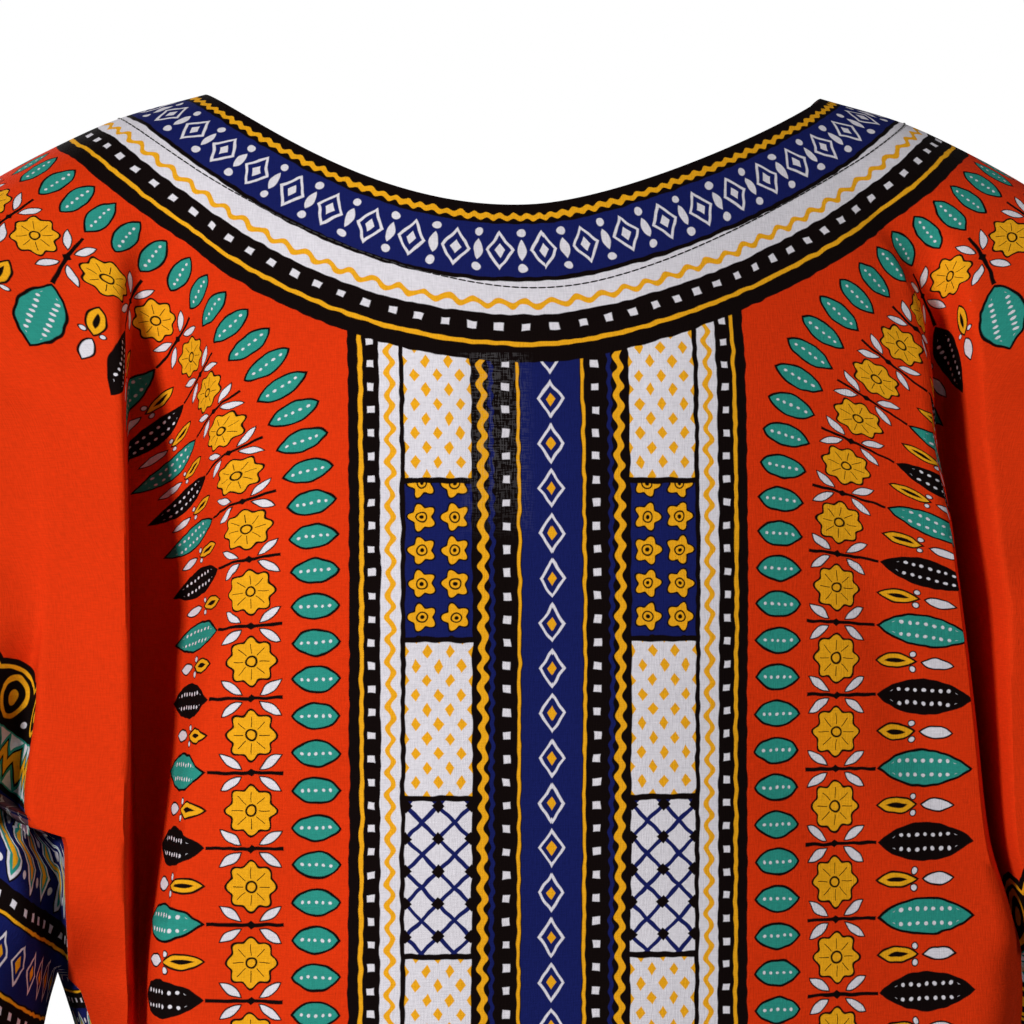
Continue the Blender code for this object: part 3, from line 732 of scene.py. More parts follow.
def collar_stretch(upper):
    """How much the print is stretched along the collar, so that a diamond lies on the seam on the
    shoulder."""
    row = np.argmin(np.abs(upper.n[:, -1] - COLLAR_MIDDLE))
    length = (upper.m + COLLAR_MIDDLE * upper.turn)[row, -1]
    return np.round(length / COLLAR_PITCH) * COLLAR_PITCH / length


def half_grids(face, side):
    """The three grids of half a panel, with the print's maps on their points."""
    laid = laid_grids(face, side)
    motif_place, stretch = motif_places(laid[0]), collar_stretch(laid[0])
    made = []
    for grid, (w, h) in zip(laid, runs_to_ends(*(grid.points for grid in laid))):
        x, z = side * grid.points[..., 0], grid.points[..., 2]
        off_end = off_sleeve_end(x, z, side) + BORDER - BORDER_ON_SLEEVE[side]
        if len(made) < 2:
            off_end += BORDER_SLANT * np.maximum(UNDERARM - z, 0)
            off_end[:, : BORDER_COLUMNS[face, side]] = FAR
        around = lengths(grid.points[:, ::-1], 1)[:, ::-1]
        values = {
            "cut": (grid.u, grid.v),
            "collar": ((grid.m + COLLAR_MIDDLE * grid.turn) * stretch, grid.n),
            "field": motif_place(grid),
            "border": (np.where(h < off_end, grid.u, around), np.minimum(h, off_end)),
            "ends": (w, h),
        }
        maps = {name: np.stack(pair, axis=2) for name, pair in values.items()}
        made.append(Grid(grid.points, maps, face * side > 0))
    return made


def printed_outline(off_panel, off_collar, up, along):
    """(t, s) beside the joined outline of panel and collar: s is a soft least of both distances, and t
    blends the way up the panel with the way along the collar by how near each is."""
    collar_share = 1 / (1 + np.exp(np.clip((off_collar - off_panel) / CORNER_SOFTNESS, -50, 50)))
    least = np.minimum(off_panel, off_collar)
    gap = np.abs(off_panel - off_collar)
    s = least - CORNER_SOFTNESS * np.log1p(np.exp(-gap / CORNER_SOFTNESS))
    return (1 - collar_share) * up + collar_share * along, s


def quads(rows, columns, turned, start):
    """Corner numbers of the cells of a grid, going round each cell the other way if turned."""
    index = np.arange(rows * columns).reshape(rows, columns) + start
    ring = [index[:-1, :-1], index[1:, :-1], index[1:, 1:], index[:-1, 1:]]
    return np.stack(ring[::-1] if turned else ring, axis=2).reshape(-1, 4)


# Corners that agree to one part in this many of a metre are one point.
SAME_POINT = 1e7


class Cloth:
    """One layer of cloth joined from grids, with shared points where the grids meet."""

    def __init__(self, grids):
        self.corners = np.concatenate([grid.points.reshape(-1, 3) for grid in grids])
        self.maps = {}
        for name in grids[0].maps:
            self.maps[name] = np.concatenate([grid.maps[name].reshape(-1, 2) for grid in grids])
        self.starts = running(np.array([grid.points[..., 0].size for grid in grids]))
        rings = []
        for grid, start in zip(grids, self.starts):
            rings.append(quads(*grid.points.shape[:2], grid.turned, start))
        self.quads = np.concatenate(rings)
        keys = np.round(self.corners * SAME_POINT).astype(np.int64)
        _, first, self.shared = np.unique(keys, axis=0, return_index=True, return_inverse=True)
        self.shared = self.shared.reshape(-1)
        self.points = self.corners[first]

    def normals(self):
        """Unit normals at the shared points from the areas of the cells, turned into the seams' plane
        there."""
        ring = self.points[self.shared[self.quads]]
        across = np.cross(ring[:, 2] - ring[:, 0], ring[:, 3] - ring[:, 1])
        total = np.zeros_like(self.points)
        for corner in range(4):
            np.add.at(total, self.shared[self.quads[:, corner]], across)
        total[np.abs(self.points[:, 1]) < 1e-9, 1] = 0
        return total / np.maximum(np.linalg.norm(total, axis=1, keepdims=True), 1e-12)


def make_mesh(name, points, rings, materials, material_of=None, maps=None):
    """A piece from an array of points and an array of four-cornered faces, with a UV map for each map."""
    mesh = bpy.data.meshes.new(name)
    mesh.vertices.add(len(points))
    mesh.vertices.foreach_set("co", points.astype(np.float32).ravel())
    mesh.loops.add(rings.size)
    mesh.loops.foreach_set("vertex_index", rings.astype(np.int32).ravel())
    mesh.polygons.add(len(rings))
    mesh.polygons.foreach_set("loop_start", np.arange(0, rings.size, rings.shape[1], dtype=np.int32))
    for material in materials:
        mesh.materials.append(material)
    if material_of is not None:
        mesh.polygons.foreach_set("material_index", material_of.astype(np.int32))
    for key, values in (maps or {}).items():
        layer = mesh.uv_layers.new(name=key)
        layer.uv.foreach_set("vector", values.astype(np.float32).ravel())
    mesh.update(calc_edges=True)
    mesh.shade_smooth()
    mesh.validate()
    piece = bpy.data.objects.new(name, mesh)
    bpy.context.scene.collection.objects.link(piece)
    return piece


def shell(name, cloth, keep, outer, thickness, materials, outer_materials=0):
    """A closed wall on the cells kept: its outer side lies the depth outer inside the cloth, its inner side
    deeper by the thickness at each point, and a rim closes the edge between them. The last material is the
    inner side's."""
    ring = cloth.quads[keep]
    normals = cloth.normals()
    count = len(cloth.points)
    points = np.concatenate([cloth.points - normals * outer, cloth.points - normals * (outer + thickness)])
    shared = np.concatenate([cloth.shared, cloth.shared + count])
    edges = np.concatenate([ring[:, [i, (i + 1) % 4]] for i in range(4)])
    ends = np.sort(cloth.shared[edges], axis=1)
    _, which, times = np.unique(ends, axis=0, return_inverse=True, return_counts=True)
    rim = edges[times[which.reshape(-1)] == 1]
    inside = len(cloth.corners)
    rim = np.stack([rim[:, 1], rim[:, 0], rim[:, 0] + inside, rim[:, 1] + inside], axis=1)
    corners = np.concatenate([ring, ring[:, ::-1] + inside, rim])
    material_of = np.repeat([0, len(materials) - 1, 0], [len(ring), len(ring), len(rim)])
    material_of[: len(ring)] = outer_materials
    maps = {key: np.concatenate([cloth.maps[key]] * 2)[corners] for key in MAPS}
    used, rings = np.unique(shared[corners], return_inverse=True)
    piece = make_mesh(name, points[used], rings.reshape(-1, 4), materials, material_of, maps)
    piece.data.set_sharp_from_angle(angle=np.radians(SHARP_ANGLE))
    return piece


def level_line(points, normals, level, value):
    """Where each column of a grid crosses a value that changes along it, with the cloth's normal there."""
    above = level > value
    flips = above[:-1] != above[1:]
    row = np.argmax(flips, axis=0)
    at = np.arange(level.shape[1])
    share = ((value - level[row, at]) / (level[row + 1, at] - level[row, at]))[:, None]
    found = flips.any(axis=0)
    line = points[row, at] * (1 - share) + points[row + 1, at] * share
    lean = normals[row, at] * (1 - share) + normals[row + 1, at] * share
    return line[found], lean[found]


# A stitch's bar: its sides, how far it stands out in widths, and its profile as shares of half its length and
# width. A seam's stitches have a pitch, a length and a width.
STITCH_SIDES = 6
STITCH_PROUD = 0.25
STITCH_PROFILE = np.array([[-1.0, 0.45], [-0.62, 0.95], [0.62, 0.95], [1.0, 0.45]])
Seam = namedtuple("Seam", "pitch length width")
NECK_SEAM = Seam(0.0034, 0.0030, 0.00060)
HEM_SEAM = Seam(0.0032, 0.0026, 0.00045)


def stitches(name, lines, seam, material):
    """Thread showing along each line of (points, normals): at every pitch a short six-sided bar with
    narrower ends lies along the line, partly sunk in the cloth."""
    angle = np.linspace(0, 2 * np.pi, STITCH_SIDES, endpoint=False)
    bar = np.empty((len(STITCH_PROFILE), STITCH_SIDES, 3))
    bar[..., 0] = STITCH_PROFILE[:, :1] * seam.length / 2
    bar[..., 1] = np.outer(STITCH_PROFILE[:, 1], np.cos(angle)) * seam.width / 2
    bar[..., 2] = np.outer(STITCH_PROFILE[:, 1], np.sin(angle)) * seam.width / 2
    index = np.arange(bar[..., 0].size).reshape(bar.shape[:2])
    after = np.roll(index, -1, axis=1)
    sides = np.stack([index[:-1], after[:-1], after[1:], index[1:]], axis=2).reshape(-1, 4)
    ends = np.array([[0, 3, 2, 1], [0, 5, 4, 3]])
    ring = np.concatenate([sides, ends, ends[:, ::-1] + index[-1, 0]])
    points = []
    for line, lean in lines:
        run = lengths(line)
        at = np.arange(seam.pitch / 2, run[-1], seam.pitch)

        def read(values, where):
            return np.stack([np.interp(where, run, values[:, i]) for i in range(3)], axis=1)

        along = read(line, at + seam.length / 4) - read(line, at - seam.length / 4)
        along /= np.linalg.norm(along, axis=1, keepdims=True)
        up = read(lean, at)
        up -= (up * along).sum(axis=1, keepdims=True) * along
        up /= np.linalg.norm(up, axis=1, keepdims=True)
        axes = np.stack([along, np.cross(up, along), up], axis=1)
        middle = read(line, at) + up * seam.width * STITCH_PROUD
        points.append(np.einsum("pi,kij->kpj", bar.reshape(-1, 3), axes) + middle[:, None])
    points = np.concatenate(points)
    rings = ring + np.arange(len(points))[:, None, None] * points.shape[1]
    return make_mesh(name, points.reshape(-1, 3), rings.reshape(-1, 4), [material])


# Inks of the print, as linear colours, and the width of the soft step at a printed edge.
ORANGE = (0.740, 0.037, 0.0040)
WHITE = (0.745, 0.710, 0.760)
BLACK = (0.0054, 0.0026, 0.0024)
BLUE = (0.0085, 0.0130, 0.1050)
GOLD = (0.870, 0.395, 0.0115)
TEAL = (0.0270, 0.2850, 0.2280)
EDGE = 0.00035

# Straight bands and waves of each print, in the order in which they lie over each other: the middle and
# half the width of each, and for a wave its pitch along the band and its height.
Band = namedtuple("Band", "middle half colour pitch height", defaults=(0, 0))
LACE = 0.0197
COLLAR_BANDS = (
    Band(0.0055, 0.0012, GOLD, COLLAR_PITCH / 3, 0.0006),
    Band(LACE, 0.0112, BLUE),
    Band(0.0395, 0.0067, WHITE),
    Band(0.0418, 0.0012, GOLD, COLLAR_PITCH / 2, 0.0012),
    Band(0.0580, 0.0009, GOLD),
)
FILLINGS = 0.0430
PANEL_BANDS = (
    Band(0.0000, 0.0115, BLUE),
    Band(0.0125, 0.0006, GOLD),
    Band(0.0228, 0.0008, BLUE, 0.0055, -0.0004),
    Band(0.0262, 0.0013, GOLD, 0.0076, -0.0009),
    Band(0.0612, 0.0038, WHITE),
    Band(0.0612, 0.0011, GOLD, 0.0084, -0.0012),
    Band(0.0722, 0.0008, GOLD),
)
LEAF_BAND, ZIGZAG_BAND = 0.0350, 0.0590
BORDER_BANDS = (
    Band(0.0000, 0.0115, BLUE),
    Band(0.0128, 0.0006, GOLD),
    Band(LEAF_BAND, 0.0128, BLUE),
    Band(ZIGZAG_BAND, 0.0092, TEAL),
)

# Squares in a row: how far out the row lies, half their width and their pitch.
Squares = namedtuple("Squares", "middle half pitch")
COLLAR_SQUARES = Squares(0.0512, 0.0014, COLLAR_PITCH / 2)
PANEL_SQUARES = Squares(0.0172, 0.0014, 0.0088), Squares(0.0684, 0.0013, 0.0088)
BORDER_SQUARES = Squares(0.0176, 0.0013, 0.0076)

# Leaf shapes: half the length and half the width.
Leaf = namedtuple("Leaf", "half_length half_width")
LACE_LEAF = Leaf(0.0044, 0.0017)
SMALL_LEAF = Leaf(0.0086, 0.0045)
FLOWER_LEAF = Leaf(0.0046, 0.0015)
BIG_LEAF = Leaf(0.0190, 0.0066)
SEED = Leaf(0.0078, 0.0027)
LAST_LEAF = Leaf(0.0062, 0.0022)
BORDER_LEAF = Leaf(0.0112, 0.0044)

# Outlined diamonds in a row: half the width and height, and how far in the blue and then the middle begin.
Chain = namedtuple("Chain", "half_x half_y blue_in middle_in")
LACE_CHAIN = Chain(0.0056, 0.0082, 0.0013, 0.0036)
PANEL_CHAIN = Chain(0.0052, 0.0076, 0.0012, 0.0034)
BORDER_CHAIN = Chain(0.0048, 0.0078, 0.0011, 0.0030)

# Rows of dots: the pitch of a row, or how far from the middle it lies, and the radius of each dot.
Dots = namedtuple("Dots", "place radius")
LACE_DOTS = Dots(0.0074, 0.0017)
LEAF_BEADS = Dots(0.0027, 0.0006)
BIG_LEAF_DOTS = Dots(0.0034, 0.0008)
BORDER_SEEDS = Dots(0.0062, 0.0014)
RING_DOTS = Dots(0.0728, 0.0013)
BERRY = Dots(0.0032, 0.0011)

# Flowers: the number of petals, how far they swell, the radius, the outline, and a ring's radius and half
# width.
Bloom = namedtuple("Bloom", "petals swell radius line ring ring_half")
ROSETTE = Bloom(5, 0.0009, 0.0044, 0.0007, 0.0019, 0.0003)
FLOWER = Bloom(8, 0.0009, 0.0086, 0.0009, 0.0020, 0.0004)

# The centre panel: the pitch of its diamonds; its fillings' height and half width, with gold diamonds, a
# lattice with studs, and rosettes; and half the width of the lines between them.
PANEL_DIAMONDS = 0.0170
FILLING_HEIGHT, FILLING_HALF = 0.060, 0.0126
DIAMONDS_ACROSS, DIAMONDS_UP = 0.0086, 0.0110
GOLD_DIAMOND = (0.0019, 0.0026)
LATTICE_PITCH, LATTICE_HALF, STUD_HALF = 0.0124, 0.0011, 0.0026
ROSETTE_PITCH, ROSETTE_EYE = 0.0126, 0.0008
FILLING_LINE = 0.0011

# Motifs of the ground: the pitch of the small leaves and of the flowers, and how far out each row lies.
LEAF_PITCH = 0.0142
FLOWER_PITCH = 0.0290
SMALL_LEAVES, STEMS, SEEDS, BERRIES, BIG_LEAVES, LAST_LEAVES = 0.0125, 0.0400, 0.0640, 0.0712, 0.0760, 0.0815

# How far beads fill the small leaf; a flower's spokes, with half their width, middle and half length; a
# stem's half width, half length and knot, and its pairs of leaves; and how far inside their leaves dots and
# seeds are.
BEADS_REACH = 0.0062
SPOKE, SPOKE_MIDDLE, SPOKE_REACH = 0.0006, 0.0052, 0.0021
STEM, STEM_REACH, STEM_KNOT = 0.0007, 0.0150, (0.0016, 0.0022)
STEM_LEAF_OFF, STEM_LEAVES = 0.0042, ((0.0300, 34), (0.0455, -34))
DOTS_ACROSS, DOTS_INSIDE, SEED_INSIDE = 0.0056, 0.0012, 0.0017

# The border: the height of its middle, and the pitches of its diamonds, leaves, zigzag and rings.
BORDER_MIDDLE = 0.0940
BORDER_DIAMONDS, BORDER_LEAVES, BORDER_ZIGZAG, BORDER_RINGS = 0.0120, 0.0136, 0.0096, 0.0250

# The zigzag: its foot, its slope, half the widths of gold and black, and where white begins, up to this far
# from its middle. The rings: how far out, the radius, half the line and the eye. The scallops: where the edge
# lies and how far it swings, and how far inside it the gold line runs, with half its width.
ZIGZAG_FOOT, ZIGZAG_SLOPE = 0.0557, 1.35
ZIGZAG_GOLD, ZIGZAG_BLACK, ZIGZAG_WHITE, ZIGZAG_REACH = 0.0026, 0.0040, 0.0062, 0.0086
RINGS, RING, RING_LINE, RING_EYE = 0.0790, 0.0072, 0.0010, 0.0028
SCALLOP_EDGE, SCALLOP_SWING = 0.0880, 0.0036
SCALLOP_LINE_IN, SCALLOP_LINE = 0.0024, 0.0008

# The printer's hand: how far lines shake, and how often in a metre. The cotton: how often threads change in a
# metre along and across them, their pitch, and patches of shade to a metre.
SHAKE, SHAKES_A_METRE = 0.0012, 210.0
THREAD_ALONG, THREAD_ACROSS = 260.0, 1900.0
WEAVE_PITCH = 0.00062
PATCHES_A_METRE = 26.0

# Painted sheen, light caught by the weave and laid into the colour as grey: the place on the cut, the half
# size and the soft edge each way, where the left half begins, which threads take it there and by how much.
SHEEN_U, SHEEN_V = 0.021, -0.118
SHEEN_ACROSS, SHEEN_UP = (0.010, 0.010), (0.040, 0.030)
LEFT_FROM, LEFT_SOFT = 0.004, 0.016
SHEEN_BELOW, SHEEN_SOFT, SHEEN_SHARE = -0.06, 0.08, 0.20
SHEEN_GREY = (0.20, 0.19, 0.20)

# How far threads and patches change the tone, how high uneven threads stand beside the weave, and finishes.
PLAIN_TONE, THREAD_TONE, PATCH_TONE = 0.95, 0.15, 0.10
THREAD_HEIGHT = 1.6
COTTON_ROUGHNESS, COTTON_SHINE, THREAD_ROUGHNESS = 0.88, 0.04, 0.6
UNDYED_SHARE = 0.4
PLIES_A_METRE, PLY_DARK, PLY_LIGHT = 3000.0, 0.7, 1.4
WEAVE_BUMP, PLY_BUMP = (0.35, 0.00025), (0.4, 0.0001)


def connect(tree, value, socket):
    """Gives a socket a number, a colour or another node's output."""
    if isinstance(value, bpy.types.NodeSocket):
        tree.links.new(value, socket)
    else:
        socket.default_value = (*value, 1) if isinstance(value, tuple) else value


def add(tree, kind, inputs, **settings):
    """A new shader node with these settings and inputs."""
    node = tree.nodes.new("ShaderNode" + kind)
    for name, value in settings.items():
        setattr(node, name, value)
    for key, value in inputs.items():
        connect(tree, value, node.inputs[key])
    return node


class Signal:
    """A number that changes over the cloth, which adds Math nodes to its tree as it is reckoned with."""

    def __init__(self, tree, socket):
        self.tree = tree
        self.socket = socket

    def math(self, operation, *others, clamp=False):
        values = [value.socket if isinstance(value, Signal) else value for value in (self, *others)]
        node = add(self.tree, "Math", dict(enumerate(values)), operation=operation, use_clamp=clamp)
        return Signal(self.tree, node.outputs[0])

    def __add__(self, other):
        return self.math("ADD", other)

    def __sub__(self, other):
        return self.math("SUBTRACT", other)

    def __rsub__(self, other):
        return self.math("MULTIPLY_ADD", -1.0, other)

    def __mul__(self, other):
        return self.math("MULTIPLY", other)

    __radd__, __rmul__ = __add__, __mul__

    def __abs__(self):
        return self.math("ABSOLUTE")

    def most(self, other):
        return self.math("MAXIMUM", other)

    def least(self, other):
        return self.math("MINIMUM", other)

    def cosine(self):
        return self.math("COSINE")

    def cell(self, pitch, start=0.0):
        """The distance from the middle of the cell that it lies in, with a sign; one middle lies at start."""
        return (self - start if start else self).math("WRAP", pitch / 2, -pitch / 2)

    def near(self, pitch, start=0.0):
        """The distance from the nearest of the places start, start + pitch and so on."""
        return (self - start if start else self).math("PINGPONG", pitch / 2)

    def wave(self, pitch, height):
        """A wave of this pitch and height, with a crest at 0."""
        return (self * (2 * np.pi / pitch)).cosine() * height

    def within(self, edge=0.0, soft=EDGE):
        """1 where this distance is under the edge and 0 where it is over, with a soft step between."""
        return self.math("MULTIPLY_ADD", -1 / soft, 0.5 + edge / soft, clamp=True)


def length_of(x, y):
    """The length of the vector (x, y)."""
    joined = add(x.tree, "CombineXYZ", {0: x.socket, 1: y.socket})
    node = add(x.tree, "VectorMath", {0: joined.outputs[0]}, operation="LENGTH")
    return Signal(x.tree, node.outputs["Value"])


def angle_of(x, y):
    """The angle of the vector (x, y)."""
    return y.math("ARCTAN2", x)


def lens(x, y, half_length, half_width):
    """Distance outside a leaf along x that is the overlap of two equal discs."""
    radius = (half_length**2 + half_width**2) / (2 * half_width)
    return length_of(x, abs(y) + (radius - half_width)) - radius


def diamond(x, y, half_x, half_y):
    """About the distance outside a diamond with these half widths."""
    steep = min(half_x, half_y)
    return abs(x) * (steep / half_x) + abs(y) * (steep / half_y) - steep


def turned(x, y, degrees):
    """(x, y) turned by an angle."""
    c, s = np.cos(np.radians(degrees)), np.sin(np.radians(degrees))
    return x * c + y * s, y * c - x * s


def mix(tree, share, first, second):
    """The colour this share of the way from one colour to another."""
    node = add(tree, "Mix", {"Factor": share}, data_type="RGBA")
    sockets = [socket for socket in node.inputs if socket.type == "RGBA"]
    for colour, socket in zip((first, second), sockets):
        connect(tree, colour, socket)
    return next(socket for socket in node.outputs if socket.type == "RGBA")


class Ink:
    """Colours laid over each other with masks, as Mix nodes."""

    def __init__(self, tree, ground):
        self.tree = tree
        self.now = ground

    def lay(self, mask, colour):
        """One colour, or the colours of another ink, where the mask is 1."""
        colour = colour.now if isinstance(colour, Ink) else colour
        self.now = mix(self.tree, mask.socket, self.now, colour)
        return self

    def bands(self, along, out, bands):
        """A row of bands, laid in turn."""
        for band in bands:
            off = out - band.middle
            if band.height:
                off = off + along.wave(band.pitch, band.height)
            self.lay(abs(off).within(band.half), band.colour)

    def squares(self, along, out, squares):
        """A row of white squares."""
        off = abs(out - squares.middle).most(abs(along.cell(squares.pitch))) - squares.half
        self.lay(off.within(), WHITE)

    def chain(self, x, y, chain, middle):
        """A white diamond, with a blue one inside it and a third one inside that."""
        shape = diamond(x, y, chain.half_x, chain.half_y)
        self.lay(shape.within(), WHITE).lay(shape.within(-chain.blue_in), BLUE)
        self.lay(shape.within(-chain.middle_in), middle)

    def bloom(self, reach, angle, bloom):
        """A gold flower with a black ring in it."""
        petals = (angle * bloom.petals).cosine() * bloom.swell
        self.outlined(reach - petals - bloom.radius, GOLD, bloom.line)
        self.lay(abs(reach - bloom.ring).within(bloom.ring_half), BLACK)

    def outlined(self, distance, colour, line=0.0008):
        """A shape in one colour with a black line round it."""
        return self.lay(distance.within(line), BLACK).lay(distance.within(), colour)


def collar_print(tree, m, n):
    """Bands round the neck: a gold wave, diamonds on blue, a gold wave on white, squares on black, a gold
    line."""
    ink = Ink(tree, BLACK)
    ink.bands(m, n, COLLAR_BANDS)
    lace_m, lace_n = m.cell(COLLAR_PITCH), n - LACE
    ink.chain(lace_m, lace_n, LACE_CHAIN, WHITE)
    between = m.near(COLLAR_PITCH, COLLAR_PITCH / 2)
    ink.lay(length_of(between, abs(lace_n) - LACE_DOTS.place).within(LACE_DOTS.radius), WHITE)
    ink.lay(lens(lace_n, between, *LACE_LEAF).within(), WHITE)
    ink.squares(m, n, COLLAR_SQUARES)
    return ink


def panel_print(tree, u, v):
    """Straight strips down the middle of the body: a diamond chain on blue, squares on black, a gold wave,
    a row of panels, a gold wave on white, squares on black and a gold line."""
    ink = Ink(tree, BLACK)
    ink.bands(v, u, PANEL_BANDS)
    ink.chain(u, v.cell(PANEL_DIAMONDS), PANEL_CHAIN, GOLD)
    for squares in PANEL_SQUARES:
        ink.squares(v, u, squares)
    ink.lay(abs(u - FILLINGS).within(FILLING_HALF), fillings_print(tree, u - FILLINGS, v))
    return ink


def fillings_print(tree, u, v):
    """One column of panels: white with gold diamonds, and between these by turns a blue lattice on white
    and gold rosettes on blue."""
    ink = Ink(tree, WHITE)
    row = v.cell(4 * FILLING_HEIGHT)
    half = FILLING_HEIGHT / 2
    seeds = diamond(u.near(DIAMONDS_ACROSS), v.near(DIAMONDS_UP), *GOLD_DIAMOND)
    between_u, between_v = u.near(DIAMONDS_ACROSS, DIAMONDS_ACROSS / 2), v.near(DIAMONDS_UP, DIAMONDS_UP / 2)
    ink.lay(seeds.least(diamond(between_u, between_v, *GOLD_DIAMOND)).within(), GOLD)
    lattice = (u + v).near(LATTICE_PITCH).least((u - v).near(LATTICE_PITCH)) - LATTICE_HALF
    studs = diamond(u.near(LATTICE_PITCH), v.near(LATTICE_PITCH), STUD_HALF, STUD_HALF)
    blue_lace = Ink(tree, WHITE).lay(lattice.within(), BLUE).lay(studs.within(), BLACK)
    ink.lay(abs(row + FILLING_HEIGHT).within(half), blue_lace)
    rose_u, rose_v = u.cell(ROSETTE_PITCH, ROSETTE_PITCH / 2), v.cell(ROSETTE_PITCH)
    reach = length_of(rose_u, rose_v)
    roses = Ink(tree, BLUE)
    roses.bloom(reach, angle_of(rose_u, rose_v), ROSETTE)
    roses.lay(reach.within(ROSETTE_EYE), BLACK)
    ink.lay(abs(row - FILLING_HEIGHT).within(half), roses)
    ink.lay(v.near(FILLING_HEIGHT, half).within(FILLING_LINE), BLACK)
    return ink


def field_print(tree, t, s):
    """Motifs on the orange ground in rows along the printed outline: teal leaves, gold flowers with white
    leaves between them, and big leaves that are teal and black by turns, with gold seeds and berries
    between them."""
    ink = Ink(tree, ORANGE)
    leaf_t, leaf_s = t.cell(LEAF_PITCH), s - SMALL_LEAVES
    ink.outlined(lens(leaf_s, leaf_t, *SMALL_LEAF), TEAL, line=0.0009)
    beads = length_of(leaf_s.near(LEAF_BEADS.place), leaf_t)
    ink.lay(beads.within(LEAF_BEADS.radius).least(abs(leaf_s).within(BEADS_REACH)), WHITE)

    flower_t, flower_s = t.cell(FLOWER_PITCH), s - FLOWERS
    reach, angle = length_of(flower_t, flower_s), angle_of(flower_t, flower_s)
    ink.bloom(reach, angle, FLOWER)
    off_spoke = abs((angle * (FLOWER.petals / 2)).math("SINE")) * reach
    ink.lay(off_spoke.within(SPOKE).least(abs(reach - SPOKE_MIDDLE).within(SPOKE_REACH)), BLACK)

    stem_t = t.near(FLOWER_PITCH, FLOWER_PITCH / 2)
    ink.lay(stem_t.within(STEM).least(abs(s - STEMS).within(STEM_REACH)), BLACK)
    ink.lay(diamond(stem_t, flower_s, *STEM_KNOT).within(), BLACK)
    for height, slope in STEM_LEAVES:
        across, along = turned(stem_t - STEM_LEAF_OFF, s - height, slope)
        ink.outlined(lens(along, across, *FLOWER_LEAF), WHITE, line=0.0005)

    every_other = t.near(2 * FLOWER_PITCH, FLOWER_PITCH / 2).within(FLOWER_PITCH / 2)
    leaf_s = s - BIG_LEAVES
    big_leaf = lens(leaf_s, stem_t, *BIG_LEAF)
    ink.outlined(big_leaf, Ink(tree, TEAL).lay(every_other, BLACK), line=0.0010)
    dots = length_of(leaf_s.near(BIG_LEAF_DOTS.place), stem_t.near(DOTS_ACROSS, DOTS_ACROSS / 2))
    ink.lay(dots.within(BIG_LEAF_DOTS.radius).least(big_leaf.within(-DOTS_INSIDE)), WHITE)
    seed = lens(s - SEEDS, flower_t, *SEED)
    ink.outlined(seed, GOLD).lay(seed.within(-SEED_INSIDE), BLACK)
    ink.outlined(lens(s - LAST_LEAVES, flower_t, *LAST_LEAF), WHITE, line=0.0007)
    berry = length_of(abs(flower_t) - BERRY.place, s - BERRIES)
    ink.outlined(berry - BERRY.radius, WHITE, line=0.0005)
    return ink


def border_print(tree, a, w):
    """The dark border, the same both ways from its middle: diamonds on blue, squares on black, leaves on
    blue, a zigzag on teal, and gold rings on black under a scalloped gold edge. Also the distance outside
    that edge."""
    ink = Ink(tree, BLACK)
    off = abs(w - BORDER_MIDDLE)
    ink.bands(a, off, BORDER_BANDS)
    ink.chain(a.cell(BORDER_DIAMONDS), off, BORDER_CHAIN, GOLD)
    ink.squares(a, off, BORDER_SQUARES)
    leaf = lens(off - LEAF_BAND, a.cell(BORDER_LEAVES), *BORDER_LEAF)
    ink.outlined(leaf, WHITE, line=0.0007).lay(leaf.within(-0.0012), TEAL).lay(leaf.within(-0.0026), GOLD)
    seeds = length_of(abs(off - LEAF_BAND) - BORDER_SEEDS.place, a.near(BORDER_LEAVES, BORDER_LEAVES / 2))
    ink.lay((seeds - BORDER_SEEDS.radius).within(), WHITE)
    zigzag = abs(off - ZIGZAG_FOOT - a.near(BORDER_ZIGZAG) * ZIGZAG_SLOPE)
    ink.lay(zigzag.within(ZIGZAG_BLACK), BLACK).lay(zigzag.within(ZIGZAG_GOLD), GOLD)
    ink.lay((ZIGZAG_WHITE - zigzag).within().least(abs(off - ZIGZAG_BAND).within(ZIGZAG_REACH)), WHITE)
    ring = length_of(a.cell(BORDER_RINGS), off - RINGS)
    ink.lay(abs(ring - RING).within(RING_LINE), GOLD).lay(ring.within(RING_EYE), GOLD)
    dots = length_of(a.near(BORDER_RINGS, BORDER_RINGS / 2), off - RING_DOTS.place)
    ink.lay(dots.within(RING_DOTS.radius), WHITE)
    edge = off - abs(a.wave(2 * BORDER_RINGS, SCALLOP_SWING)) - SCALLOP_EDGE
    ink.lay(abs(edge + SCALLOP_LINE_IN).within(SCALLOP_LINE), GOLD)
    return ink, edge.least(w - BORDER_MIDDLE)


def noise(tree, vector, scale, detail, dimensions="3D"):
    """A noise texture at a vector."""
    inputs = {"Scale": scale, "Detail": detail, "Vector": vector}
    return add(tree, "TexNoise", inputs, noise_dimensions=dimensions)


def apart(tree, vector):
    """The first two numbers of a vector or colour."""
    node = add(tree, "SeparateXYZ", {0: vector})
    return Signal(tree, node.outputs[0]), Signal(tree, node.outputs[1])


def threads(tree, u, v):
    """Uneven threads both ways: noise that is stretched along the weft, and noise stretched along the
    warp."""
    runs = []
    for across, up in ((THREAD_ALONG, THREAD_ACROSS), (THREAD_ACROSS, THREAD_ALONG)):
        joined = add(tree, "CombineXYZ", {0: (u * across).socket, 1: (v * up).socket})
        runs.append(Signal(tree, noise(tree, joined.outputs[0], 1.0, 0.0, "2D").outputs["Fac"]))
    return runs[0] + runs[1] - 1.0


